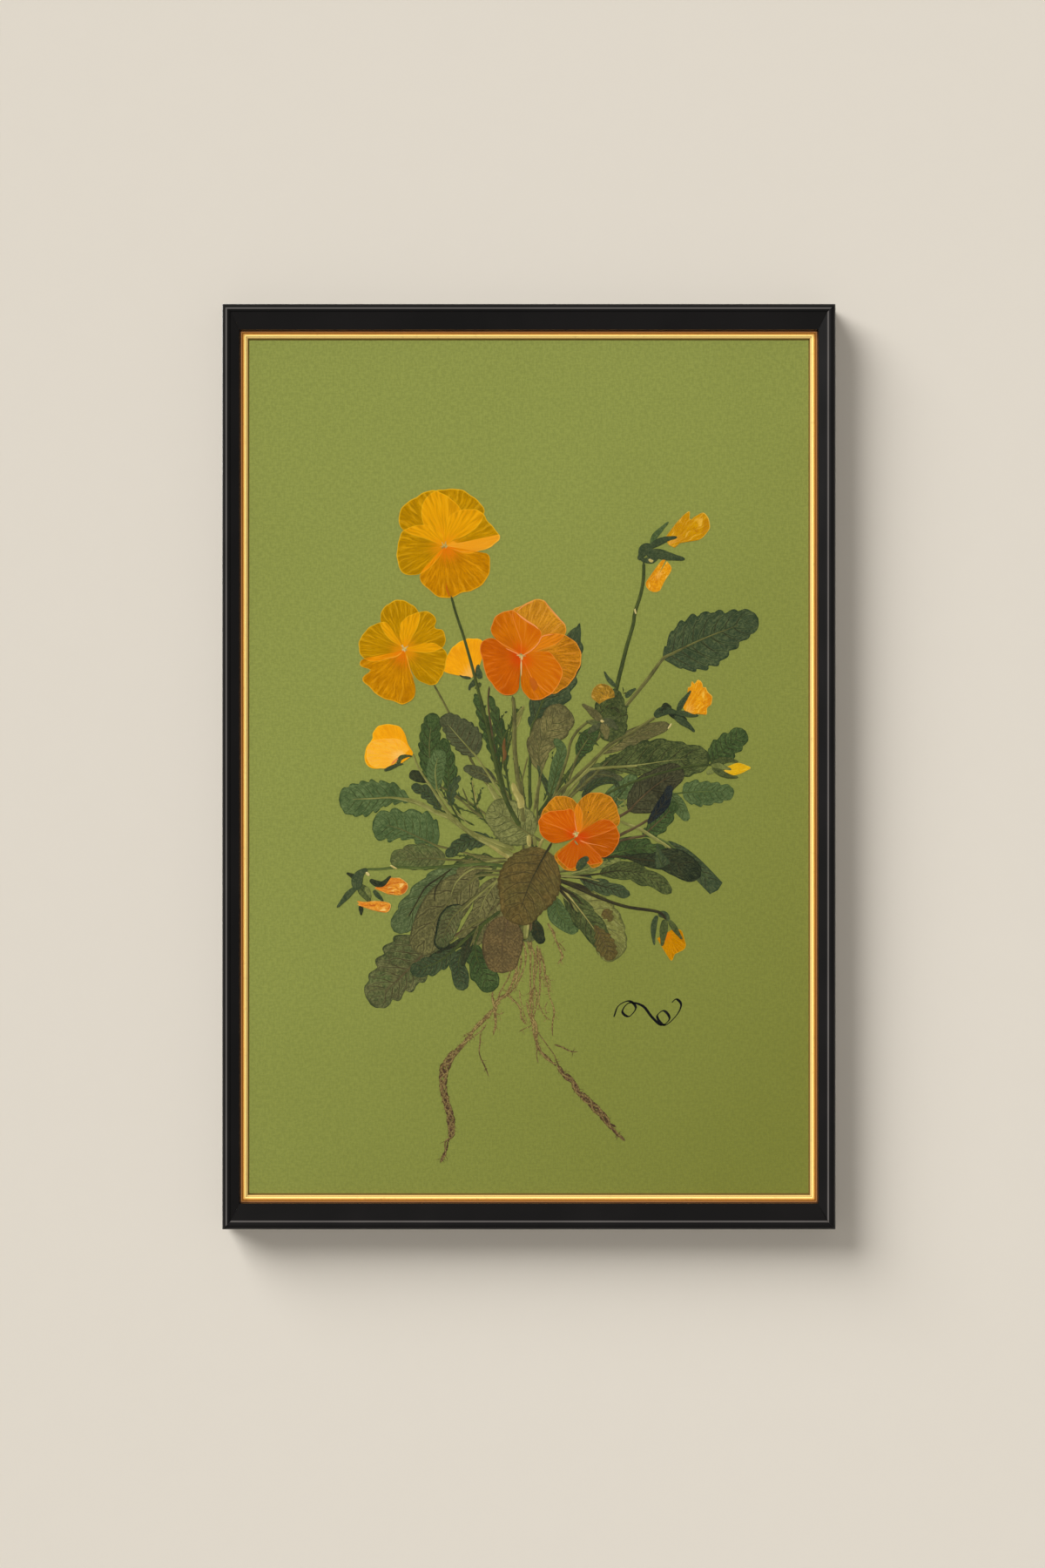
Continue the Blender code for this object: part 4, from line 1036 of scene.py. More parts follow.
    ("grey_small", 9, "slate", [(-8.5, -20.5), (-13, -11.5), (-17, -7.5), (-24.5, -3.5), (-34, -0.5)],
     2, (1, 2.8, 3.6, 3.4, 2.4), None, 2, 0.5, "olive", 0.4),
    ("serrate_one", 5, "fern",
     [(-7, -32.5), (-11.5, -16), (-14.5, -3.5), (-18.5, 10), (-23, 23.5), (-28, 38)],
     2, (1, 2.6, 3.2, 3.2, 2.4), (1, 2.4, 3, 3, 2.2), 7, 0.9, "pine", 0.5),
    ("serrate_two", 6, "fern", [(-6, -32.5), (-10, -13.5), (-12, 0), (-13.5, 13.5), (-17, 26), (-20.5, 37)],
     2, (1, 2.6, 3.4, 3.2, 2.2), (1, 2.4, 3.2, 3, 2.2), 6, 0.9, "pine", 0.5),
    ("middle_left", 7, "bottle",
     [(-28, -30.5), (-39.5, -25), (-46, -22.5), (-49.5, -16.5), (-54.5, -12.5), (-61, -10)],
     2, (1, 3, 3.6, 3.4, 2.6), None, 4, 0.8, "pine", 0.4),
    ("round_dark", 8, "night", [(-48.5, -12.5), (-53, -8), (-56.5, -5.5), (-62, -3.5)],
     1, (0.8, 2, 2.8, 3, 2.6), None, 0, 0, "dark", 0.3),
    ("behind_left", 7, "green",
     [(-30.5, -30.5), (-41, -20.5), (-47.5, -12), (-48.5, -4.5), (-48, 1.5), (-45.5, 9)],
     2, (1, 4, 5, 4.6, 3.6), (1, 3.6, 4.6, 5, 4.4), 5, 0.5, "lime", 0.4),
    ("behind_left_dark", 6, "fern", [(-35, -25), (-42, -14.5), (-41.5, -4.5), (-42.5, 5.5), (-44.5, 15)],
     1, (1, 3, 4, 4, 3), (1, 3.4, 4.6, 4, 3), 4, 0.7, "pine", 0.4),
    ("toothed_small", 9, "bottle", [(-35, -29.5), (-40, -20.5), (-40.5, -16), (-39, -10.5), (-36, -4.5)],
     1, (0.8, 2, 2.4, 2.4, 1.6), None, 4, 0.8, "pine", 0.35),
    ("right_of_centre", 8, "fern", [(14.5, -22.5), (21.5, -4.5), (25, 5.5), (29, 12), (34.5, 20)],
     2, (1, 3, 4.6, 4.6, 3.6), (1, 3.4, 5, 4.6, 3.6), 2, 0.5, "olive", 0.5),
    ("olive_upper", 6, "umber", [(19, -18), (31, -2.5), (37, 7), (50, 14), (62, 19), (73, 22)],
     2, (1, 3, 4, 4, 3), (1, 3.5, 5, 5, 4), 0, 0, "olive", 0.5),
    ("grey_band", 9, "slate", [(25.5, -12.5), (31, -6), (37, -4), (49, -6.5)],
     0, (1.5, 2.6, 3, 2.6, 2), None, 0, 0, "olive", 0.3),
    ("curled_band", 10, "bottle", [(27.5, -16), (32, -10.5), (38, -7.5), (44.5, -8), (47.5, -13.5)],
     0, (1, 1.8, 2, 1.8, 1.2), None, 0, 0, "pine", 0.3),
    ("green_backing", 5, "green", [(37, -25), (43, -17), (49, -11.5), (56, -4.5)],
     0, (2, 4, 5, 5, 4), None, 0, 0, "pine", 0.4),
]

RIB_SHARE = 0.82            # the petiole runs on as a midrib along this much of the blade
RIB_PLACES = 12
RIB_LIFT = 0.08             # lifts over the blade
VEIN_LIFT = 0.07
PAIRS_COLUMN = 5            # where a row of LEAF_TONES has its pairs of side veins


def build_leaf(name, layer, tone, route, start, left, right, teeth, tooth, rib, radius, cap=0.8):
    """A blade with its side veins, and a petiole that runs on as its midrib."""
    node = "leaf_" + name
    piece = Piece("pressed_" + node, SLOT_OF_TONE[tone], node)
    lift = lift_of(layer)
    surface = blade(
        piece, route[start:], left, right or left, lift, LEAF_FINISH[tone], teeth, tooth, cap
    )
    if tone in VEIN_OF_TONE:
        pairs = LEAF_TONES[tone][PAIRS_COLUMN]
        side_veins(piece, surface, pairs, lift + VEIN_LIFT, STALK_FINISH[VEIN_OF_TONE[tone]])
    midrib = curve(route[start:], RIB_PLACES)
    path = list(route[:start]) + [tuple(place) for place in midrib[:round(RIB_PLACES * RIB_SHARE)]]
    free, whole = run_length(route[:start + 1]), run_length(path)
    radii = []
    for share in np.linspace(0, 1, 16):
        beyond = max(0.0, share * whole - free) / (whole - free)
        radii.append(radius * (1 - 0.35 * min(1.0, beyond * 6)) * (1 - beyond) + 0.1)
    tube(piece, path, radii, lift + RIB_LIFT, STALK_FINISH[rib], flat=0.35)
    piece.finish()


# flower: CAD node, layer, slot, eye, petals from the back to the front as (tone, rim)
FLOWERS = [
    ("flower_yellow_top", 2, "yellow_petal", (-43.5, 114.5), [
        ("yellow", [(-48.5, 118.5), (-53.5, 124), (-55.5, 129.5), (-55, 136), (-52, 140.5), (-46.5, 143.5),
          (-37, 144), (-31, 141.5), (-26, 137.5), (-23, 132.5), (-25, 127), (-28.5, 123), (-34, 119.5),
          (-39, 118)]),
        ("yellow", [(-53, 118), (-65, 122.5), (-67.5, 129), (-66, 134), (-61.5, 138), (-53.5, 142.5),
          (-47.5, 143), (-40, 138.5), (-35.5, 134), (-35, 130), (-35.5, 124), (-40, 118.5)]),
        ("yellow", [(-44, 121.5), (-43.5, 126.5), (-41, 130), (-35.5, 133), (-29, 133.5), (-24, 131.5),
          (-21, 127), (-17, 122.5), (-15, 119), (-16.5, 117), (-21, 113.5), (-27.5, 111.5), (-32, 110.5),
          (-38.5, 112.5)]),
        ("yellow_fold", [(-39.5, 117), (-35, 115), (-30, 114), (-23.5, 115.5), (-18.5, 118.5),
          (-15.5, 120.5), (-15.5, 117.5), (-20.5, 113.5), (-25, 112), (-31, 111), (-37, 112.5)]),
        ("yellow", [(-44.5, 120), (-47, 122.5), (-51.5, 125), (-58.5, 125), (-65, 122.5), (-67.5, 117),
          (-68.5, 110.5), (-67, 102.5), (-64.5, 100), (-58, 99.5), (-52.5, 102.5), (-47.5, 107.5),
          (-44.5, 112.5)]),
        ("yellow_lip", [(-46, 111.5), (-55.5, 101.5), (-56, 96), (-52.5, 92.5), (-48.5, 89), (-43.5, 87.5),
          (-39, 88), (-34, 90.5), (-29, 91.5), (-24, 94.5), (-21, 99.5), (-20, 105.5), (-21, 110),
          (-25, 111), (-31.5, 110.5), (-39.5, 113)]),
    ]),
    ("flower_yellow_left", 7, "yellow_petal", (-64.5, 60.5), [
        ("yellow", [(-66, 62.5), (-72, 66), (-76, 71.5), (-77, 77), (-75.5, 82), (-71, 85.5), (-66, 86.5),
          (-61.5, 84.5), (-58, 81.5), (-56.5, 78), (-58, 72), (-62, 65)]),
        ("yellow", [(-67.5, 65), (-71.5, 72), (-75, 75), (-80.5, 73.5), (-85, 70), (-88, 64.5),
          (-87.5, 58.5), (-83, 55), (-77, 55), (-68.5, 57.5)]),
        ("yellow", [(-67, 67.5), (-66.5, 74), (-64.5, 76.5), (-61.5, 78.5), (-55.5, 80.5), (-50.5, 79.5),
          (-48, 76), (-49, 72), (-45, 71), (-43.5, 68), (-44, 62.5), (-50.5, 59.5), (-58, 59.5)]),
        ("yellow", [(-62.5, 62), (-59.5, 62.5), (-54.5, 64), (-49, 64), (-45, 61.5), (-42.5, 58.5),
          (-43, 53.5), (-45, 47), (-49, 42.5), (-53.5, 43), (-58.5, 46), (-62, 52)]),
        ("yellow_lip", [(-70, 58), (-77, 56.5), (-83, 56.5), (-87, 55), (-87, 52), (-82, 50), (-85.5, 47),
          (-86, 44.5), (-82, 40.5), (-76.5, 36), (-69, 33.5), (-64.5, 32.5), (-59.5, 36), (-59, 42),
          (-61, 47.5), (-63, 55.5)]),
    ]),
    ("flower_yellow_folded", 4, "yellow_petal", (-30, 46), [
        ("yellow_full", [(-37, 47.5), (-42, 48.5), (-46, 51), (-43.5, 55.5), (-39, 62.5), (-33, 66),
          (-28, 66.5), (-24, 65), (-23.5, 59.5), (-25.5, 52.5), (-27, 48)]),
    ]),
    ("flower_orange_centre", 14, "orange_petal", (-4, 57.5), [
        ("amber_light", [(-4, 65), (-8.5, 80), (-2.5, 84), (3, 86.5), (7.5, 86.5), (11, 81.5), (15.5, 77),
          (19, 73), (19, 69), (14.5, 64), (3.5, 59.5)]),
        ("amber", [(1, 61.5), (7, 68), (14, 69), (19, 68), (24, 64.5), (27, 59.5), (26.5, 52.5), (23, 45.5),
          (17.5, 40), (11, 38), (2, 45)]),
        ("orange_lip", [(-7, 60), (-14.5, 64), (-18.5, 66.5), (-23.5, 65.5), (-25.5, 61.5), (-24.5, 57.5),
          (-22.5, 48.5), (-18.5, 42), (-14.5, 38), (-9, 37), (-5.5, 40), (-5, 44.5), (-4, 53)]),
        ("orange", [(-8, 59.5), (-14.5, 63.5), (-19.5, 69.5), (-19, 74), (-16, 79), (-9.5, 81), (-6.5, 80),
          (-1, 76), (5.5, 71), (6, 67), (0.5, 61)]),
        ("orange", [(-2, 59), (3, 59.5), (10, 59.5), (14, 55.5), (17, 51), (17, 46), (14, 40.5), (9, 36),
          (3, 34.5), (-1, 36.5), (-4, 42), (-4, 53)]),
    ]),
    ("flower_orange_low", 19, "orange_petal", (25, -36), [
        ("amber", [(18.5, -32.5), (6.5, -27), (9.5, -19.5), (14, -15.5), (20, -15.5), (24.5, -18.5),
          (27.5, -23.5), (27.5, -31.5)]),
        ("amber", [(24, -30.5), (23.5, -22.5), (26.5, -17.5), (30.5, -14), (36.5, -13.5), (41.5, -15),
          (45, -19.5), (46.5, -24.5), (46.5, -30), (39.5, -34), (30, -37)]),
        ("amber", [(21, -39.5), (14.5, -44), (13.5, -47.5), (17.5, -52.5), (22.5, -54), (25.5, -53),
          (27.5, -50), (28.5, -47), (30.5, -50), (33.5, -52.5), (38, -50), (37.5, -47), (32, -41.5)]),
        ("orange_deep", [(22, -39.5), (18.5, -43), (14.5, -46), (18.5, -51), (22, -53), (25.5, -50.5),
          (28.5, -47.5), (27, -40.5)]),
        ("orange_deep", [(27.5, -41.5), (29, -47), (31, -50.5), (37.5, -49.5), (36.5, -46.5), (32, -42.5),
          (28, -39.5)]),
        ("orange_lip", [(24.5, -31.5), (24, -25.5), (22, -22), (17, -22.5), (9.5, -23.5), (5.5, -27),
          (5, -30.5), (7, -36), (13, -39.5), (21, -38)]),
        ("orange_deep", [(27.5, -33), (31.5, -30.5), (37.5, -27.5), (42.5, -28), (45.5, -31.5), (47, -36),
          (45, -42), (41, -46), (36.5, -47), (32.5, -44), (27.5, -39)]),
    ]),
    ("flower_yellow_side", 10, "yellow_petal", (-65.5, 5.5), [
        ("yellow_full", [(-74, -0.5), (-80.5, -1), (-84, 1), (-85, 4), (-84.5, 9.5), (-81, 14.5),
          (-81, 17.5), (-78, 21), (-72.5, 22), (-67.5, 21), (-64.5, 17.5), (-62.5, 11.5), (-60, 7),
          (-61.5, 5), (-66.5, 1.5)]),
        ("yellow_pale", [(-71, 0), (-76, -1), (-80.5, 0), (-83.5, 3), (-84, 8), (-82.5, 12), (-79, 14),
          (-73.5, 14.5), (-68.5, 14.5), (-64.5, 12.5), (-62, 9)]),
    ]),
    ("bud_top_right", 5, "yellow_petal", (72.5, 115), [
        ("yellow_dull", [(70.5, 118.5), (77, 127), (83, 132.5), (83.5, 128), (86.5, 130), (91, 131.5),
          (94, 126), (92.5, 121.5), (88, 117.5), (81, 117.5), (75.5, 113.5)]),
    ]),
    ("bud_mid_right", 9, "yellow_petal", (81.5, 28), [
        ("yellow_crumpled", [(80, 30.5), (82, 37), (82.5, 41), (84, 41.5), (84.5, 44.5), (86, 43),
          (87.5, 45), (89.5, 44), (90.5, 41), (91.5, 41.5), (92.5, 39), (95, 36.5), (94.5, 32.5),
          (92.5, 30.5), (92, 27), (88.5, 28), (84.5, 26.5), (81.5, 27)]),
    ]),
    ("bud_centre", 12, "leaf_green", (40.5, 35), [
        ("yellow_withered", [(36.5, 32.5), (32.5, 36), (33.5, 40.5), (37, 43), (41.5, 42), (44, 39),
          (44.5, 36)]),
    ]),
    ("bud_far_right", 10, "yellow_petal", (101, -2.5), [
        ("yellow_bud", [(102, -0.5), (105, 1), (108.5, 2), (112, 1), (115, -0.5), (112, -2.5), (108.5, -4),
          (104.5, -4.5), (102, -3.5)]),
    ]),
    ("bud_left", 14, "orange_petal", (-80, -63), [
        ("peach", [(-77, -61.5), (-73.5, -58), (-69.5, -57.5), (-66, -58), (-62.5, -61.5), (-64, -65),
          (-67, -66.5), (-73, -66)]),
    ]),
    ("bud_low_right", 8, "orange_petal", (70.5, -86.5), [
        ("yellow_lip", [(66.5, -89), (68.5, -92.5), (71.5, -97.5), (74, -100.5), (76, -97), (81, -94),
          (80.5, -89), (78.5, -84.5), (74, -84.5)]),
    ]),
]
# parts that fan from an eye of their own: bud, tone, layer, eye, rim
LOOSE_PETALS = [
    ("bud_top_right", "yellow_crumpled", 6, (67.5, 100),
     [(71.5, 106.5), (74, 102.5), (70, 95.5), (67.5, 91), (63, 91), (60.5, 94.5), (63, 99), (68.5, 106.5),
      (71, 107.5)]),
    ("bud_left", "peach", 14, (-88, -71),
     [(-89, -69.5), (-84.5, -70), (-79, -69.5), (-72.5, -70.5), (-71.5, -72.5), (-73.5, -75.5),
      (-80, -74.5), (-85, -73), (-89, -71.5)]),
]


def build_flower(node, layer, slot, eye, petals):
    eye = np.array(eye, float)
    outlines = []
    for number, (tone, rim) in enumerate(petals, 1):
        piece = Piece(f"petal_{node.split('_', 1)[1]}_{number}", slot, node)
        petal(piece, eye, rim, lift_of(layer + 0.75 * number), PETAL_FINISH[tone], outlines)
        piece.finish()
        outlines.append(np.concatenate([curve(rim, 40), [eye]]))


def build_loose_petals():
    for number, (node, tone, layer, eye, rim) in enumerate(LOOSE_PETALS, 1):
        piece = Piece(f"petal_loose_{number}", "yellow_petal", node)
        petal(piece, np.array(eye, float), rim, lift_of(layer), PETAL_FINISH[tone], columns=30, rows=10)
        piece.finish()


# sepals and calyx lobes of each bud or flower: layer, tone, route, half width
SEPALS = {
    "bud_top_right": [
        (8, "green", [(63.5, 114), (65, 119), (68.5, 123), (72.5, 127)], 1.6),
        (9, "bottle", [(62.5, 113.5), (66.5, 116), (71.5, 118), (77, 119)], 1.9),
        (9, "bottle", [(60.5, 110.5), (66.5, 110.5), (73, 109), (81, 107.5)], 2.6),
        (10, "bottle", [(64, 114), (60, 112.5), (58, 109), (56.5, 107.5)], 3),
        (7, "bottle", [(67, 109.5), (63.5, 107.5), (60, 107), (58, 108)], 2.2),
    ],
    "bud_mid_right": [
        (12, "bottle", [(77, 28), (79, 32.5), (81.5, 36), (84, 39.5)], 1.6),
        (12, "bottle", [(76, 28), (80.5, 27.5), (84.5, 26.5), (88, 26.5)], 1.5),
        (12, "bottle", [(75.5, 26), (79.5, 23.5), (83, 21), (86, 18)], 1.9),
        (13, "bottle", [(65, 26), (68.5, 28.5), (72.5, 29), (77, 28)], 2.4),
        (13, "night", [(68, 28), (70, 30.5), (71, 32), (74, 30.5)], 1.6),
        (11, "night", [(72.5, 28), (77, 26), (79.5, 25.5), (82, 24)], 1.8),
    ],
    "bud_centre": [
        (15, "umber", [(38, 23.5), (34.5, 27), (31, 30), (27.5, 32.5)], 2.2),
        (15, "slate", [(38, 23.5), (41.5, 23), (44.5, 21), (46, 19)], 2.2),
        (15, "umber", [(38, 22.5), (39.5, 19), (40, 16.5), (40, 14)], 2.4),
        (15, "slate", [(37, 22.5), (34.5, 20.5), (32.5, 19), (30.5, 17)], 1.8),
        (15, "sage", [(37, 23), (34.5, 23), (32, 23), (29.5, 23.5)], 1.4),
        (14, "bottle", [(45, 41.5), (42, 44.5), (40.5, 46.5), (39, 49.5)], 1.2),
        (13, "bottle", [(50, 36), (52.5, 38.5), (54.5, 40), (55.5, 40.5)], 1.4),
        (14, "sage", [(39, 24), (43, 25), (45, 25.5), (47, 26)], 1.2),
    ],
    "bud_far_right": [
        (14, "moss", [(94, 1), (99.5, 3), (104, 3.5), (108.5, 2.5)], 1.9),
        (14, "moss", [(95, -0.5), (100, -3.5), (104, -5), (108.5, -5.5)], 1.7),
        (15, "pale", [(94.5, 0.5), (98.5, 0.5), (101.5, -0.5), (105, -1.5)], 1.5),
        (13, "pale", [(92, -3.5), (95, -2), (96.5, 0), (99.5, 1)], 1.4),
    ],
    "bud_left": [
        (15, "bottle", [(-89, -64), (-89, -58.5), (-87, -55), (-83.5, -53)], 3),
        (14, "night", [(-88, -59.5), (-90, -57.5), (-92.5, -56), (-94.5, -55)], 1.6),
        (13, "bottle", [(-89.5, -62.5), (-93, -65.5), (-96, -69), (-99.5, -73)], 1.7),
        (15, "night", [(-82.5, -58.5), (-79, -60.5), (-75.5, -60.5), (-71.5, -56.5)], 1.7),
        (12, "night", [(-87.5, -72), (-87, -74), (-87, -75.5), (-87, -77)], 1.2),
        (13, "bottle", [(-80.5, -64), (-78.5, -66.5), (-76.5, -68.5), (-75.5, -70.5)], 1.3),
        (13, "moss", [(-88, -61.5), (-86, -64), (-84.5, -66.5), (-82.5, -70)], 2.8),
        (14, "pale", [(-84.5, -62), (-83.5, -64.5), (-82.5, -66.5), (-82, -68)], 1.3),
    ],
    "bud_low_right": [
        (11, "bottle", [(66.5, -77), (65, -81), (64.5, -86.5), (65, -92.5)], 1.6),
        (12, "moss", [(70.5, -79), (70, -83.5), (69.5, -88), (69, -93)], 2.2),
        (12, "moss", [(72.5, -79.5), (75, -83), (77, -86), (79.5, -89.5)], 1.6),
        (11, "bottle", [(67, -76.5), (69.5, -76.5), (71.5, -77.5), (72.5, -80)], 1.9),
    ],
    "flower_yellow_side": [
        (13, "bottle", [(-75, -2), (-71.5, -0.5), (-68, 1), (-65, 1.5)], 1.1),
        (13, "moss", [(-68, 1.5), (-66.5, 4.5), (-63.5, 5.5), (-60.5, 5.5)], 1.2),
    ],
    "flower_yellow_folded": [
        (6, "bottle", [(-30, 46), (-31, 46), (-34, 46.5), (-36, 47.5)], 0.8),
        (8, "bottle", [(-25, 45.5), (-26, 48.5), (-26.5, 51), (-26, 53)], 1.8),
        (8, "bottle", [(-27.5, 45.5), (-29, 43), (-30.5, 41.5), (-31, 39.5)], 1.4),
        (8, "moss", [(-25, 43.5), (-26.5, 41.5), (-27, 41), (-28, 40.5)], 1.2),
    ],
}

# stalks: node, name, layer, tone, route, radii
STALKS = [
    ("flower_yellow_top", "stalk_yellow_top", 15, "pine",
     [(-4, -31.5), (-8, -25), (-12.5, -15.5), (-16, -3.5), (-19.5, 12), (-23, 27), (-26.5, 40.5), (-30, 54),
      (-34, 68), (-37.5, 78.5), (-40.5, 89)], (1.2, 1.1, 0.9, 0.8, 0.7, 0.6)),
    ("flower_yellow_left", "stalk_yellow_left", 5, "olive",
     [(-5, -31.5), (-16, -16), (-28, 0), (-37.5, 20), (-44, 33), (-49.5, 43)], (0.8, 0.7, 0.6, 0.5)),
    ("flower_yellow_folded", "stalk_yellow_folded", 4, "russet",
     [(-10, -25), (-16, 0), (-19.5, 20), (-21, 32.5), (-20.5, 42)], (0.5, 0.5, 0.5)),
    ("flower_orange_centre", "stalk_orange_centre", 12, "olive",
     [(-2.5, -29.5), (-5, -11.5), (-6.5, 0), (-7.5, 12), (-7.5, 28), (-8.5, 37)],
     (1.5, 1.3, 1.1, 1.1, 0.9)),
    ("flower_orange_low", "stalk_orange_low", 11, "green", [(4, -54), (12, -49.5), (19, -45), (24.5, -37)],
     (1, 0.8, 0.7)),
    ("flower_yellow_side", "stalk_yellow_side", 10, "lime",
     [(-5, -47.5), (-21.5, -39.5), (-31, -34), (-37.5, -28.5), (-42, -23.5), (-50, -11.5), (-57.5, 0),
      (-60, 7)], (1.4, 1.3, 1.1, 0.9, 0.6, 0.5)),
    ("bud_top_right", "stalk_top_right", 4, "pine",
     [(4, -26), (14.5, -11.5), (32.5, 13.5), (42.5, 31.5), (47.5, 49.5), (50.5, 61.5), (54, 73.5), (55, 80),
      (58, 89.5), (59.5, 98.5), (59.5, 107)], (1, 1, 1.1, 1.1, 1, 0.9, 0.8)),
    ("bud_mid_right", "stalk_mid_right", 11, "olive",
     [(2, -31.5), (9.5, -21.5), (16, -13), (23, -6.5), (31.5, 1.5), (41.5, 11), (51, 16.5), (59, 21.5),
      (66, 26)], (1, 0.9, 0.8, 0.8, 0.7)),
    ("bud_centre", "stalk_bud_centre", 10, "olive",
     [(8.5, -25.5), (14.5, -11.5), (20, 5.5), (21.5, 12.5), (25.5, 19), (32, 24), (37, 23.5)],
     (0.8, 0.7, 0.7, 0.6)),
    ("bud_far_right", "stalk_far_right", 11, "pine",
     [(14.5, -34), (37, -16), (59.5, -6), (82, 0), (93.5, 1), (98.5, 1)], (0.7, 0.6, 0.5)),
    ("bud_left", "stalk_bud_left", 13, "green",
     [(-8, -52.5), (-20.5, -50.5), (-33, -51), (-47, -52), (-57.5, -52.5), (-67.5, -52), (-77, -53),
      (-84.5, -53)], (0.9, 0.8, 0.8, 0.7, 0.6)),
    ("bud_low_right", "stalk_low_right", 10, "dark",
     [(10, -56.5), (23.5, -62), (37, -68), (50.5, -72.5), (64, -74.5), (68.5, -76), (71.5, -79.5)],
     (1, 0.9, 0.8, 0.8, 0.7)),
]

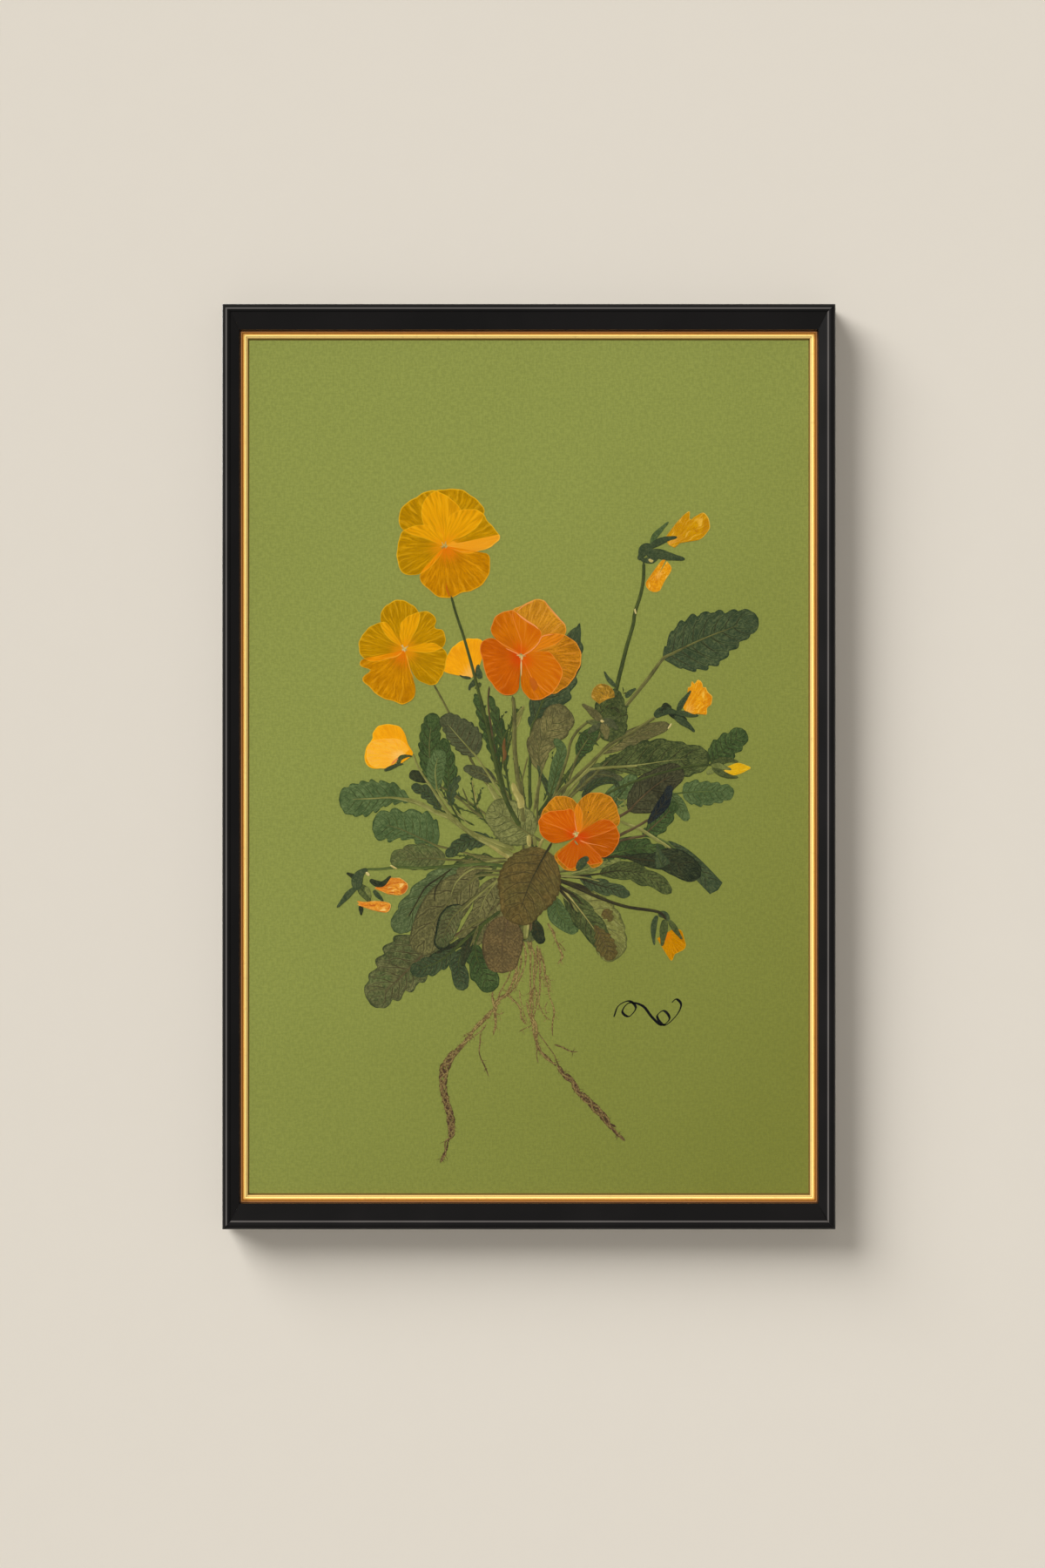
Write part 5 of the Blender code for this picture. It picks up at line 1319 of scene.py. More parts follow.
# loose stalks, veins and scraps between the leaves: layer, tone, route, radii
SCRAPS = {
    "twig_branching": [
        (7, "olive", [(-23, -27), (-30.5, -21.5), (-35, -17.5), (-40, -14.5)], (0.7, 0.6, 0.4)),
        (7, "straw", [(-26.5, -23.5), (-27.5, -17), (-29, -11.5), (-29.5, -7)], (0.4, 0.4, 0.5)),
        (7, "olive", [(-30.5, -21.5), (-32, -17), (-33.5, -13.5), (-34.5, -10.5)], (0.4, 0.4, 0.3)),
        (7, "pine", [(-28, -19), (-26.5, -18), (-25.5, -16.5), (-25, -14.5)], (0.3, 0.35, 0.3)),
    ],
    "petiole_yellow_wide": [
        (9, "lime", [(-13.5, -20), (-17, -16), (-19, -12.5), (-21.5, -9)], (1.2, 1.5, 1.3, 0.9)),
    ],
    "scrap_yellow_top": [
        (9, "lime", [(-7.5, 18), (-6.5, 22.5), (-4.5, 27.5), (-2.5, 32)], (0.6, 1.3, 1.2, 0.5)),
        (10, "straw", [(-6, 20.5), (-4.5, 25.5), (-3.5, 30)], (0.3, 0.5, 0.3)),
    ],
    "scrap_rust": [(10, "rust", [(-13.5, 1.5), (-12.5, 6), (-13, 10.5), (-12.5, 15)], (0.4, 1, 0.9, 0.4))],
    "petiole_cream": [
        (13, "straw", [(-4, -22.5), (-4.5, -17), (-7, -12.5), (-8.5, -8)], (1.8, 2.1, 1.8, 1)),
    ],
    "petiole_thin_left": [
        (6, "olive", [(-1.5, -25), (-3.5, -9), (-2.5, -2.5), (-0.5, 5.5)], (0.4, 0.4, 0.4)),
    ],
    "petiole_thin_right": [
        (6, "olive", [(4, -31.5), (4.5, -20.5), (5, -11.5), (5.5, -2.5)], (0.45, 0.45, 0.4)),
    ],
    "petiole_thin_pale": [
        (7, "lime", [(2.5, -31.5), (2.5, -22.5), (3.5, -14.5), (5, -6)], (0.35, 0.35, 0.3)),
    ],
    "petiole_yellow_gap": [
        (15, "straw", [(0.5, -41.5), (0, -39), (0, -35)], (1, 1.2, 1)),
        (15, "lime", [(3, -41.5), (3, -39), (2.5, -35.5)], (0.8, 1, 0.8)),
    ],
    "petiole_white_gap": [(15, "straw", [(5, -42.5), (6, -39.5), (7.5, -37)], (0.7, 0.8, 0.6))],
    "petiole_yellow_slant": [
        (11, "straw", [(-21.5, -39.5), (-17.5, -42), (-13.5, -45), (-9.5, -48)], (1.1, 1.3, 1.2, 0.8)),
    ],
    "petiole_pale_right": [
        (10, "lime", [(47, -28), (51.5, -30), (57, -32), (62, -35), (67.5, -38.5), (74, -42.5)],
         (0.7, 0.8, 0.9, 0.8, 0.5)),
    ],
    "petiole_rust_right": [
        (11, "russet", [(41.5, -39), (48, -35), (56, -31), (62.5, -27)], (0.8, 0.7, 0.6)),
    ],
    "petiole_lime_long": [(11, "lime", [(31, -1.5), (39, -0.5), (48, 0), (56.5, 0.5)], (0.6, 0.7, 0.6))],
    "petiole_right_pair": [
        (9, "lime", [(10, -23.5), (18.5, -14.5), (27.5, -4.5), (37, 6), (47, 13.5)], (0.6, 0.6, 0.5)),
        (8, "olive", [(13, -25.5), (22, -15.5), (32.5, -5.5), (41.5, 3.5)], (0.7, 0.6, 0.5)),
    ],
    "curl_small": [
        (10, "pine", [(14.5, -5.5), (17, -4), (19.5, -4.5), (20.5, -7.5), (19, -10)], (0.3, 0.35, 0.3)),
        (10, "lime", [(45.5, -15.5), (47, -17.5), (49, -17), (50, -19), (49.5, -21.5)], (0.3, 0.4, 0.3)),
        (10, "lime", [(46.5, -19.5), (48, -21.5), (50, -22.5)], (0.3, 0.4, 0.3)),
    ],
    "vein_taupe_long": [
        (11, "lime", [(-8, -56), (-17, -59.5), (-27.5, -68), (-35.5, -75.5)], (0.6, 0.5, 0.4, 0.2)),
    ],
    "vein_taupe_middle": [
        (11, "lime", [(-18.5, -53), (-29, -53), (-37, -59), (-40.5, -66.5)], (0.5, 0.45, 0.35, 0.2)),
    ],
    "vein_taupe_low": [
        (11, "olive", [(-23, -78.5), (-29, -81.5), (-35.5, -86.5), (-41.5, -91.5)], (0.7, 0.65, 0.5, 0.3)),
        (10, "olive", [(-26, -82), (-27.5, -85.5), (-29, -90), (-30.5, -93.5)], (0.5, 0.5, 0.3)),
    ],
    "vein_dark_long": [
        (9, "dark", [(-39.5, -52.5), (-46.5, -57.5), (-53.5, -62.5), (-58, -70), (-62.5, -78)],
         (0.3, 0.4, 0.35, 0.25)),
    ],
    "vein_dark_short": [
        (9, "dark", [(-43, -55.5), (-46, -59.5), (-48.5, -64), (-49, -70.5)], (0.3, 0.35, 0.25)),
    ],
    "stem_pale_low": [(6, "lime", [(14.5, -64), (19, -68), (23, -72), (25.5, -75.5)], (0.5, 0.6, 0.5))],
    "petiole_dark_fan": [
        (9, "dark", [(14.5, -58.5), (21.5, -60.5), (27.5, -62), (32.5, -65)], (0.9, 1.1, 0.9, 0.5)),
        (9, "dark", [(14, -60.5), (19, -64), (24.5, -67.5), (28, -72)], (0.8, 0.9, 0.6, 0.4)),
        (8, "dark", [(14.5, -62), (18.5, -66.5), (21.5, -70.5), (23.5, -75)], (0.6, 0.8, 0.5, 0.3)),
    ],
    "petiole_pale_low": [
        (10, "lime", [(14.5, -56.5), (21.5, -57), (29, -57.5), (37, -59.5)], (0.5, 0.5, 0.4, 0.3)),
    ],
}


def build_sepals():
    for node, rows in SEPALS.items():
        piece = Piece("sepals_" + node.split("_", 1)[1], "leaf_green", node)
        for layer, tone, route, width in rows:
            widths = [width * share for share in (0.5, 0.9, 1, 0.8, 0.5)]
            blade(piece, route, widths, widths, lift_of(layer), LEAF_FINISH[tone], columns=8)
        piece.finish()


def build_stalks():
    for node, name, layer, tone, route, radii in STALKS:
        piece = Piece(name, "leaf_green" if tone in ("pine", "green") else "leaf_brown", node)
        tube(piece, route, radii, lift_of(layer, 0.3), STALK_FINISH[tone], sides=12, flat=0.4)
        piece.finish()


def build_scraps():
    for name, rows in SCRAPS.items():
        piece = Piece(name, "leaf_olive")
        for layer, tone, route, radii in rows:
            tube(piece, route, radii, lift_of(layer, 0.25), STALK_FINISH[tone], flat=0.35)
        piece.finish()


# roots: route, how many strands lie side by side, spread at each place, strand radius
ROOTS = {
    "root_left": [
        ([(-7, -93.5), (-7, -101.5), (-8, -112.5), (-11, -116), (-14.5, -119.5), (-17, -124),
          (-18.5, -128.5)], 3, (1, 1.2, 1.2, 1.4, 1.2), 0.5),
        ([(-18.5, -126), (-21.5, -129.5), (-25, -132), (-28, -136), (-32.5, -142), (-37, -147),
          (-41, -152)], 4, (1, 0.9, 0.8, 1, 1.4), 0.5),
        ([(-38.5, -147.5), (-41.5, -152), (-44, -157.5), (-44.5, -164.5), (-43, -173.5), (-41, -180),
          (-40, -189), (-41.5, -192.5)], 9, (1.6, 2.9, 2.2, 1.9, 2.3, 1.8), 0.55),
        ([(-40, -184.5), (-40, -190.5), (-42.5, -193.5), (-43, -199), (-46, -205.5)],
         3, (1.6, 1.4, 0.9, 0.3), 0.4),
        ([(-18.5, -116), (-18, -121.5), (-17.5, -127.5), (-17.5, -134), (-18.5, -139.5)],
         2, (1, 1, 0.6, 0.3), 0.4),
        ([(-22, -133), (-25, -137.5), (-28, -139.5), (-32.5, -142.5)], 1, (0.2, 0.2), 0.3),
        ([(-25, -137.5), (-25.5, -143), (-25.5, -148.5), (-23.5, -154), (-20.5, -161)], 1, (0.4, 0.3), 0.3),
        ([(-17.5, -127.5), (-15, -128.5), (-12.5, -127)], 1, (0.2, 0.2), 0.25),
        ([(-3.5, -89), (-1.5, -94.5), (-2.5, -103.5), (-4, -109), (-8, -117)], 2, (0.7, 0.7, 0.5), 0.35),
        ([(-4, -86.5), (-5, -94.5), (-4, -102), (-6, -109), (-8.5, -115.5), (-13, -120.5)],
         1, (0.5, 0.4), 0.4),
        ([(-9.5, -92.5), (-8.5, -101.5), (-10.5, -109), (-14, -115.5), (-16.5, -122.5), (-17.5, -130.5)],
         1, (0.6, 0.5), 0.38),
        ([(-14.5, -121.5), (-18.5, -126), (-23, -131.5), (-26.5, -135), (-30.5, -138)],
         1, (0.5, 0.3), 0.35),
        ([(-28, -136.5), (-31, -138), (-34.5, -140.5)], 1, (0.3, 0.2), 0.25),
    ],
    "root_right": [
        ([(1, -90), (2.5, -97), (3, -103.5), (2, -117), (1.5, -128.5), (2.5, -135), (4, -142)],
         2, (0.8, 0.5, 0.6, 1, 1.2), 0.4),
        ([(1.5, -127.5), (3, -134), (4, -139.5), (5, -146.5), (9.5, -151), (14.5, -155)],
         3, (1.2, 1, 0.8, 0.6), 0.4),
        ([(3.5, -136.5), (8, -142), (12.5, -148.5), (15, -154), (19, -159.5)], 1, (0.3, 0.3), 0.3),
        ([(14.5, -155), (19, -160), (23.5, -165.5), (28, -170.5), (34, -176.5), (39.5, -182.5),
          (44.5, -188)], 7, (0.9, 1.5, 2, 2.1, 1.7), 0.52),
        ([(41.5, -185.5), (45, -189), (47.5, -191.5)], 1, (0.3, 0.2), 0.3),
        ([(42.5, -186.5), (46, -190.5), (50, -194)], 3, (1, 0.4), 0.35),
        ([(-12, -117), (-8, -121.5), (-4.5, -125), (-3.5, -130.5), (-1.5, -134)], 2, (0.4, 0.5), 0.35),
        ([(2, -133.5), (-1.5, -135.5), (-5.5, -137.5)], 1, (0.2, 0.2), 0.28),
        ([(-5, -115), (-4, -121.5), (-2.5, -128.5), (-0.5, -133.5)], 1, (0.3, 0.3), 0.3),
        ([(1, -115), (0.5, -120), (-0.5, -122.5)], 1, (0.2, 0.2), 0.28),
        ([(-0.5, -89), (1, -99), (0.5, -108), (1, -118), (0, -126)], 1, (0.5, 0.4), 0.38),
        ([(4, -92.5), (4.5, -101.5), (3, -110.5), (4, -121.5), (2, -131.5)], 1, (0.6, 0.5), 0.36),
        ([(-1.5, -121.5), (0.5, -128.5), (2, -135), (4, -142.5), (6.5, -147.5)], 1, (0.4, 0.4), 0.34),
        ([(4.5, -144), (4, -149.5), (5, -154)], 1, (0.2, 0.2), 0.24),
        ([(18.5, -159), (22, -162), (25.5, -166.5), (29, -172)], 2, (0.9, 1), 0.36),
    ],
    "root_fine": [
        ([(8, -107), (10.5, -111), (11.5, -115.5)], 1, (0.2, 0.2), 0.24),
        ([(10, -121.5), (8.5, -125), (9, -129)], 1, (0.2, 0.2), 0.24),
        ([(14.5, -91), (17.5, -93), (19, -96)], 1, (0.2, 0.2), 0.24),
        ([(4, -92.5), (5.5, -99), (6, -107), (5.5, -117), (5.5, -122.5)], 2, (0.6, 0.5, 0.3), 0.3),
        ([(5, -93.5), (7.5, -101.5), (9.5, -112.5), (11.5, -121.5), (13.5, -127.5), (12, -133),
          (12.5, -140)], 2, (0.8, 0.4, 0.5, 0.3), 0.32),
        ([(5.5, -108), (8, -111), (9.5, -114.5)], 1, (0.2, 0.2), 0.25),
        ([(5, -121.5), (6.5, -127), (9.5, -130.5), (11.5, -131.5)], 1, (0.2, 0.2), 0.28),
        ([(5.5, -117), (3.5, -118.5), (2, -121.5)], 1, (0.2, 0.2), 0.25),
        ([(13, -144), (17, -145.5), (21.5, -147.5), (25.5, -147.5)], 2, (0.5, 0.3), 0.28),
        ([(9.5, -81), (12.5, -85.5), (14.5, -91), (16, -95.5), (17.5, -98.5), (15, -102.5)],
         2, (0.4, 0.4), 0.4),
    ],
}


ROOT_STEP = 2.2             # a root's strands may turn at places this far apart
HAIR_RADII = (0.14, 0.12, 0.05)


def root_bundle(piece, route, strands, spread, radius, chance):
    """Strands that wander round one another, with short hairs."""
    count = max(5, round(run_length(route) / ROOT_STEP))
    line = curve(route, count)
    aside = sideways(line)
    wander = 0.75 if strands > 1 else 0.4
    rooms = np.interp(np.linspace(0, 1, count), np.linspace(0, 1, len(spread)), spread) * wander
    for strand in range(strands):
        swing, pace = chance.uniform(0, 6.28), chance.uniform(0.7, 1.5)
        path = []
        for index in range(count):
            push = math.sin(swing + pace * index) * rooms[index] + chance.uniform(-0.22, 0.22)
            path.append(tuple(line[index] + aside[index] * push))
        thick = radius * chance.uniform(0.8, 1.25)
        radii = [thick * share for share in (1, 1.15, 0.8, 1.1, 0.6)]
        lift = 0.35 + chance.uniform(0, 0.5)
        if strand % 3 == 2:
            tube(piece, path, radii, lift + 0.3, ROOT_CLEAN, sides=6, flat=0.8)
        else:
            tube(piece, path, radii, lift, ROOT, sides=6, flat=0.8)
    for hair in range(round(count * 0.5 * max(1, strands / 2))):
        index = chance.randrange(1, count - 1)
        lean = chance.choice((-1, 1))
        length = chance.uniform(1.4, 4.0)
        start = line[index]
        ahead = line[min(index + 1, count - 1)] - line[index - 1]
        ahead = ahead / (np.linalg.norm(ahead) + 1e-9)
        tip = start + (aside[index] * lean * 0.8 + ahead * chance.uniform(-0.1, 0.9)) * length
        bend = (start + tip) / 2 + aside[index] * chance.uniform(-0.8, 0.8)
        path = [tuple(start), tuple(bend), tuple(tip)]
        tube(piece, path, HAIR_RADII, 0.3, ROOT, sides=4, flat=0.8)


def build_roots():
    chance = random.Random(3)
    for node, rows in ROOTS.items():
        piece = Piece("pressed_" + node, "root", node)
        piece.finishes.append(ROOT)
        for route, strands, spread, radius in rows:
            root_bundle(piece, route, strands, spread, radius, chance)
        piece.finish()


CROWN = [(-1.5, -22.5), (-0.5, -31.5), (-0.5, -45), (-0.5, -58.5), (-1, -74.5), (-2, -90)]
CROWN_RIB = [(-0.5, -34), (0, -49.5), (-0.5, -65.5), (-1.5, -85.5)]


def build_stem():
    """The crown that everything grows from."""
    piece = Piece("pressed_stem", "leaf_olive", "stem")
    tube(piece, CROWN, (1.6, 2.2, 2.4, 2.4, 2.0, 1.4), 1.2, STALK_FINISH["lime"], sides=16, flat=0.45)
    for shift, tone in ((-2.4, "olive"), (2.4, "russet"), (0.8, "straw")):
        route = [(x + shift, z) for x, z in CROWN_RIB]
        tube(piece, route, (0.7, 1.1, 1.0, 0.6), 1.5, STALK_FINISH[tone], sides=10, flat=0.5)
    piece.finish()


POD = [(43.5, 12.5), (44.5, 20), (43.5, 29), (42.5, 40.5)]
POD_MIDDLE = (43, 30.5)


def build_crinkled_calyx():
    """The green, crumpled pod behind the centre bud."""
    piece = Piece("calyx_crinkled", "leaf_dark", "bud_centre")
    blade(piece, POD, (6, 8, 10, 10, 8), (4, 6, 7, 7.5, 6), lift_of(10), LEAF_FINISH["moss"], 6, 0.5)
    chance = random.Random(11)
    x, z = POD_MIDDLE
    for crease in range(44):
        angle = chance.uniform(0, 6.28)
        start = (x + chance.uniform(-6, 6), z + chance.uniform(-8, 8))
        size = chance.uniform(1.5, 3.5)
        tip = (start[0] + math.cos(angle) * size, start[1] + math.sin(angle) * size)
        middle = ((start[0] + tip[0]) / 2 + chance.uniform(-0.6, 0.6), (start[1] + tip[1]) / 2)
        finish = STALK_FINISH["pine" if crease % 3 else "dark"]
        tube(piece, [start, middle, tip], (0.15, 0.28, 0.12), lift_of(10.6, 0.2), finish, sides=6)
    piece.finish()


# name, layer and place of each flower's eye
EYES = [
    ("eye_yellow_top", 8.5, (-43.5, 114.5)),
    ("eye_yellow_left", 12, (-64.5, 61)),
    ("eye_orange_centre", 19, (-4, 57.5)),
    ("eye_orange_low", 25.5, (25, -35)),
]


def build_eyes():
    """Pale hairy throats at the flowers' eyes."""
    chance = random.Random(5)
    for name, layer, eye in EYES:
        piece = Piece(name, "yellow_petal")
        eye = np.array(eye, float)
        for hair in range(18):
            angle = chance.uniform(0, 6.28)
            size = chance.uniform(0.7, 1.7) if hair % 5 else 2.6
            tip = eye + np.array([math.cos(angle), math.sin(angle)]) * size
            middle = (eye + tip) / 2 + chance.uniform(-0.3, 0.3)
            path = [tuple(eye), tuple(middle), tuple(tip)]
            finish = STALK_FINISH["cream" if hair % 4 else "straw"]
            tube(piece, path, (0.35, 0.28, 0.12), lift_of(layer), finish, sides=6, flat=0.4)
        piece.finish()


# creases, flecks and spots: name, node, then the layer, tone, route and radii of each line
MARKS = [
    ("crease_orange_centre", "flower_orange_centre", [
        (19, "blush", [(-6.5, 80), (-4, 77.5), (-0.5, 75), (3, 73), (5, 71)], (0.3, 0.5, 0.5, 0.3)),
        (15.5, "blush", [(7.5, 86.5), (11.5, 81.5), (15.5, 77), (19, 73)], (0.3, 0.35, 0.35, 0.25)),
        (16, "blush", [(-6.5, 80), (-2.5, 83.5), (3, 86)], (0.2, 0.3, 0.2)),
        (19.5, "blush", [(-3.5, 57.5), (1, 60), (5, 64), (7, 67.5), (13, 68.5)], (0.35, 0.35, 0.3, 0.2)),
        (19.5, "blush", [(-4, 57.5), (-8, 59.5), (-12.5, 61.5)], (0.4, 0.3, 0.2)),
        (19.5, "cream", [(-4, 55), (-4, 51), (-4, 46.5)], (0.5, 0.4, 0.2)),
        (18.4, "bruise", [(0.5, 46.5), (2, 44), (3, 41.5), (2.5, 39)], (0.9, 2.2, 2.4, 1)),
    ]),
    ("crease_orange_low", "flower_orange_low", [
        (25.5, "blush", [(25, -34.5), (24, -29), (23.5, -23.5)], (0.3, 0.3, 0.15)),
        (25.2, "blush", [(26, -38), (30, -39.5), (35.5, -40.5), (41.5, -42)], (0.35, 0.25, 0.15, 0.1)),
        (22.5, "dark", [(30.5, -23.5), (31, -23.5)], (0.4, 0.5, 0.4)),
        (25.8, "dark", [(25, -34.5), (25, -35)], (0.3, 0.4, 0.3)),
        (25.5, "lime", [(23.5, -38), (24.5, -39.5), (25.5, -40.5)], (0.4, 0.6, 0.4)),
    ]),
    ("fleck_stalk", "bud_top_right", [
        (11, "cream", [(55, 82), (55, 81), (55.5, 79)], (0.35, 0.6, 0.35)),
        (13, "cream", [(62, 107.5), (63.5, 106.5), (64.5, 107)], (0.6, 1.1, 0.6)),
    ]),
    ("fleck_left_stalk", "bud_left", [
        (19, "cream", [(-72, -51), (-70, -52), (-68, -53)], (0.4, 0.7, 0.3)),
        (21, "cream", [(-84.5, -54.5), (-83.5, -55.5), (-82.5, -56.5)], (0.6, 1, 0.6)),
    ]),
    ("spot_grey_leaf", "leaf_grey", [(15, "dark", [(-31, 17.5), (-30, 17)], (0.4, 0.6, 0.4))]),
    ("spot_calyx", "bud_centre", [(18, "cream", [(37, 24), (38, 23.5), (39, 23.5)], (0.5, 0.9, 0.5))]),
    ("spot_mid_right", "bud_mid_right", [
        (15, "cream", [(72, 19.5), (73, 21), (74, 22.5)], (0.4, 0.6, 0.4)),
    ]),
    ("crease_yellow_top", "flower_yellow_top", [
        (7.4, "bruise", [(-43, 95.5), (-42.5, 92), (-41, 88)], (0.2, 0.5, 0.4)),
        (8, "gold", [(-39.5, 113), (-35, 111.5), (-28, 112)], (0.25, 0.3, 0.15)),
    ]),
    ("crease_yellow_left", "flower_yellow_left", [
        (12, "gold", [(-65.5, 59.5), (-69, 57), (-75.5, 56)], (0.4, 0.35, 0.15)),
        (12, "gold", [(-63.5, 58.5), (-62.5, 54), (-61, 48.5), (-59, 45)], (0.3, 0.3, 0.15)),
    ]),
    ("crease_yellow_side", "flower_yellow_side", [
        (12, "blush", [(-63.5, 5.5), (-68, 4), (-71.5, 1)], (0.6, 0.9, 0.5)),
    ]),
]


def build_marks():
    """Creases in the petals, with flecks and spots on stalks and leaves."""
    for name, node, rows in MARKS:
        slot = "leaf_olive"
        if "crease" in name:
            slot = "orange_petal" if "orange" in name else "yellow_petal"
        piece = Piece(name, slot, node)
        for layer, tone, route, radii in rows:
            thin = [radius * 0.75 for radius in radii]
            tube(piece, route, thin, lift_of(layer), STALK_FINISH[tone], sides=6, flat=0.3)
        piece.finish()


# deeply cut stipules: layer, tone, route, lobe length, lobes on a side
STIPULES = {
    "stipules_left": [
        (7, "bottle", [(-21.5, -29.5), (-28, -21.5), (-35, -16), (-40, -12)], 2.6, 5),
        (8, "fern", [(-23, -27), (-27.5, -20.5), (-29, -12.5), (-30, -7)], 2.2, 5),
        (8, "bottle", [(-28, -22.5), (-26.5, -17), (-24.5, -11.5)], 1.8, 4),
        (7, "bottle", [(-33, -22.5), (-38.5, -20), (-43, -16), (-46, -10.5)], 2.4, 4),
        (6, "pale", [(-20.5, -30.5), (-25, -26), (-30, -23.5), (-35.5, -22)], 2, 4),
    ],
    "stipules_centre": [
        (7, "bottle", [(-8.5, -22.5), (-11, -9), (-12, 4.5), (-10, 17), (-7, 29)], 2.8, 8),
        (6, "fern", [(-11.5, -20.5), (-15, -7), (-17.5, 5.5), (-21.5, 19), (-23, 30.5)], 3, 8),
        (9, "bottle", [(-13, -11.5), (-17, 0), (-18.5, 11), (-17, 20), (-12.5, 28)], 2.2, 7),
        (10, "fern", [(-14, 13.5), (-10.5, 20), (-8, 26), (-4.5, 30.5)], 2, 4),
        (10, "pale", [(-11, 10), (-8.5, 17), (-6, 23.5), (-3.5, 29)], 1.6, 5),
        (11, "brown", [(-12.5, -2.5), (-13, 3), (-12.5, 8), (-10.5, 12.5)], 1.4, 5),
    ],
    "stipules_middle": [
        (6, "bottle", [(-1.5, -22.5), (-3, -11.5), (-4.5, -2.5), (-8, 3.5)], 1.8, 5),
        (6, "fern", [(1.5, -20.5), (0.5, -9), (0, 0), (2, 8)], 1.6, 5),
        (7, "fern", [(7.5, -18), (11, -9), (13, -1), (12, 6.5)], 2, 5),
    ],
    "stipules_right": [
        (7, "bottle", [(16.5, -16), (20, -7), (23, 0), (27.5, 5.5)], 2.4, 5),
        (7, "fern", [(24.5, -11.5), (31, -4.5), (36.5, 0), (41.5, 5.5)], 2.2, 5),
        (9, "bottle", [(41.5, -22.5), (45.5, -17), (49, -12.5), (51.5, -8)], 2, 4),
    ],
    "stipules_bud": [
        (9, "bottle", [(36.5, 10.5), (32.5, 14.5), (29, 17), (25.5, 18)], 2, 4),
        (9, "fern", [(44.5, 14.5), (47, 19), (49, 24), (50.5, 30.5)], 2, 5),
    ],
    "stipules_low": [
        (12, "bottle", [(5, -41.5), (-3.5, -39), (-11.5, -37), (-18.5, -37)], 1.8, 6),
        (9, "fern", [(-21.5, -50.5), (-28, -47.5), (-35, -46), (-41, -46)], 1.8, 5),
        (9, "bottle", [(21.5, -54), (27.5, -50.5), (33.5, -48.5), (41, -48.5)], 2, 5),
    ],
}


def stipule(piece, layer, tone, route, length, lobes):
    """A thin stalk with lobes that lean to its left and right in turn."""
    lift = lift_of(layer)
    tube(piece, route, (0.45, 0.4, 0.25), lift + 0.05, STALK_FINISH["pine"], sides=6, flat=0.35)
    count = lobes * 2
    line = curve(route, count + 1)
    aside = sideways(line)
    widths = [0.25] + [share * length / 2 for share in (0.4, 0.42, 0.28)] + [0.1]
    for index in range(1, count + 1):
        lean = 1 if index % 2 else -1
        ahead = np.array([aside[index][1], -aside[index][0]])
        reach = length * (1.1 - 0.4 * index / count) * (1 + 0.25 * math.sin(index * 2.7))
        tip = line[index] + (aside[index] * lean * 0.75 + ahead * 0.85) * reach
        bend = (line[index] + tip) / 2 + ahead * 0.18 * reach
        path = [tuple(line[index]), tuple(bend), tuple(tip)]
        blade(piece, path, widths, widths, lift, LEAF_FINISH[tone], columns=6, rows=12)


def build_stipules():
    for name, rows in STIPULES.items():
        piece = Piece(name, "leaf_green")
        for row in rows:
            stipule(piece, *row)
        piece.finish()


PEN_ROUTE = [
    (44, -130), (46.5, -124), (52, -121.5), (55.5, -125), (52, -129.5), (48.5, -127), (52, -122.5),
    (59, -124), (64, -130), (69, -134), (73, -130.5), (70, -126.5), (66.5, -129.5), (70.5, -134),
    (76.5, -129), (79, -123.5), (76.5, -120.5), (74, -122.5),
]
PEN_ROWS = 150
HAIRLINE = 0.24             # half width of the pen's thinnest stroke
PEN_SWELL = 0.46            # how much wider a full stroke is


def build_flourish():
    """A pen flourish in the lower right of the card: loops and a tail, and no letters."""
    piece = Piece("ink_flourish", "card")
    line = curve(PEN_ROUTE, PEN_ROWS + 1)
    aside = sideways(line)

    def shape(across, along):
        row = round(along * PEN_ROWS)
        slant = abs(aside[row][0] * 0.8 + aside[row][1] * 0.6)
        half = (HAIRLINE + PEN_SWELL * slant ** 2) * (0 if row in (0, PEN_ROWS) else 1)
        return line[row] + aside[row] * across * half, 0.03, (across, along, 0)

    piece.patch(2, PEN_ROWS, ink_finish(), shape, thickness=0.02)
    piece.finish()


def build_plant():
    build_stem()
    for row in LEAVES:
        build_leaf(*row)
    for row in FLOWERS:
        build_flower(*row)
    build_loose_petals()
    build_sepals()
    build_stalks()
    build_scraps()
    build_crinkled_calyx()
    build_eyes()
    build_marks()
    build_stipules()
    build_roots()
    build_flourish()


# --- Wall, light and camera -----------------------------------------------------------------------
WALL_SIZE = 4.0
WALL_PLACE = 0.0015         # how far the plaster stands behind the frame's back


def build_wall():
    """A pale plastered wall, seen only from the front."""
    bm = bmesh.new()
    bmesh.ops.create_grid(bm, x_segments=1, y_segments=1, size=WALL_SIZE)
    for vert in bm.verts:
        vert.co = Vector((vert.co.x, WALL_PLACE, vert.co.y))
    mesh = bpy.data.meshes.new("wall")
    bm.to_mesh(mesh)
    bm.free()
    wall = bpy.data.objects.new("wall", mesh)
    bpy.context.scene.collection.objects.link(wall)
    finish = Finish("wall_paint", roughness=0.95, specular=0.1)
    plaster = finish.noise(finish.object_place(), 60.0, 3.0)
    finish.drive("Base Color", finish.mix(plaster * 0.08, WALL, WALL_SHADE))
    side = finish.node("ShaderNodeNewGeometry", output=6)
    clear = finish.node("ShaderNodeBsdfTransparent")
    surface = Wire(finish, finish.shader.outputs[0])
    shown = finish.node("ShaderNodeMixShader", sockets={0: side, 1: surface, 2: clear})
    finish.tree.links.new(shown.socket, finish.output.inputs["Surface"])
    mesh.materials.append(finish.material)
    return wall


def sun(name, strength, softness, toward, colour=(1, 1, 1)):
    """A sun lamp that shines along `toward`, with its disc's width in degrees."""
    lamp = bpy.data.lights.new(name, "SUN")
    lamp.energy = strength
    lamp.angle = math.radians(softness)
    lamp.color = colour
    made = bpy.data.objects.new(name, lamp)
    bpy.context.scene.collection.objects.link(made)
    made.rotation_euler = Vector(toward).to_track_quat("-Z", "Y").to_euler()
    return made


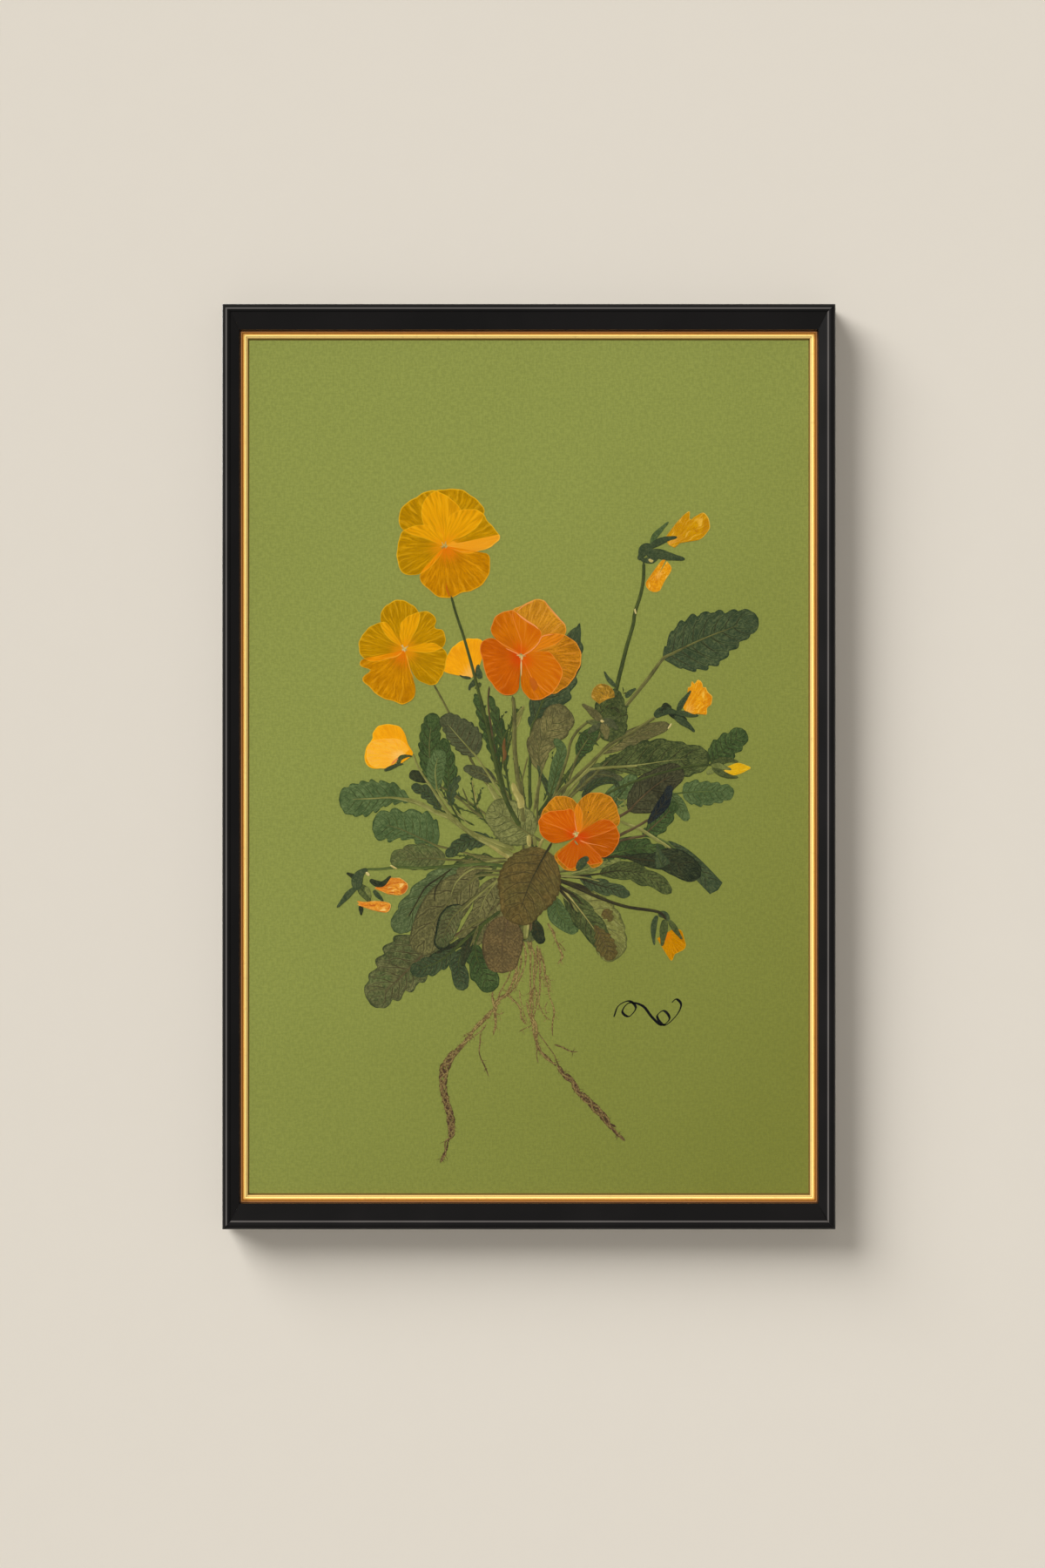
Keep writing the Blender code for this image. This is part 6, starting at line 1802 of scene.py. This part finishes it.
def group_of(name, pieces):
    group = bpy.data.collections.new(name)
    for piece in pieces:
        group.objects.link(piece)
    return group


def light_only(lamp, pieces):
    """Limits a lamp to some of the scene's pieces."""
    lamp.light_linking.receiver_collection = group_of(lamp.name + "_receivers", pieces)


def build_light(wall):
    """Even light on the card, a raking light on the mouldings and a slanting one on the wall."""
    meshes = [piece for piece in bpy.data.objects if piece.type == "MESH" and piece != wall]
    rails = [piece for piece in meshes if piece.name.startswith("lacquered_rail")]
    slips = [piece for piece in meshes if piece.name.startswith("gilt_slip")]
    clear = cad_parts["glazing"]
    flat = [piece for piece in meshes if piece not in rails and piece != clear]
    light_only(sun("front_light", 2.75, 9.0, (0.04, 1.0, -0.06)), flat)
    light_only(sun("rake_light", 1.6, 16.0, (0.82, 1.0, -0.7)), rails + slips)
    light_only(sun("wall_key", 3.8, 40.0, (1.25, 1.0, -1.25), (0.985, 1.0, 1.015)), [wall])
    light_only(sun("wall_front", 0.68, 9.0, (0.0, 1.0, 0.0), (1.0, 0.97, 0.93)), [wall])
    rear = sun("rear_light", 1.9, 40.0, (0.5, -1.0, -0.5))
    rear.light_linking.blocker_collection = group_of("rear_light_blockers", meshes)
    world = bpy.data.worlds.new("studio")
    world.use_nodes = True
    bpy.context.scene.world = world
    background = world.node_tree.nodes["Background"]
    background.inputs["Color"].default_value = (1.0, 0.985, 0.96, 1.0)
    background.inputs["Strength"].default_value = 0.22


FACE_VIEW_HEIGHT = 808.2    # height of the view at the frame's face
VIEW_SHIFT = (-3.3, -8.95)  # where the view's middle lies from the frame's
LENS = 90.0
SENSOR = 36.0


def build_camera():
    camera = bpy.data.cameras.new("camera")
    camera.lens = LENS
    camera.sensor_width = SENSOR
    camera.clip_end = 50.0
    made = bpy.data.objects.new("camera", camera)
    bpy.context.scene.collection.objects.link(made)
    right, up = VIEW_SHIFT
    away = FRAME_DEPTH + FACE_VIEW_HEIGHT * LENS / SENSOR
    made.location = (right * MM, -away * MM, MIDDLE_Z + up * MM)
    made.rotation_euler = (math.radians(90), 0, 0)
    bpy.context.scene.camera = made


def build():
    bpy.context.scene.view_settings.view_transform = "Standard"
    build_rails_and_slips()
    dress_frame_nodes()
    build_plant()
    wall = build_wall()
    build_light(wall)
    build_camera()


build()

bpy.context.view_layer.update()
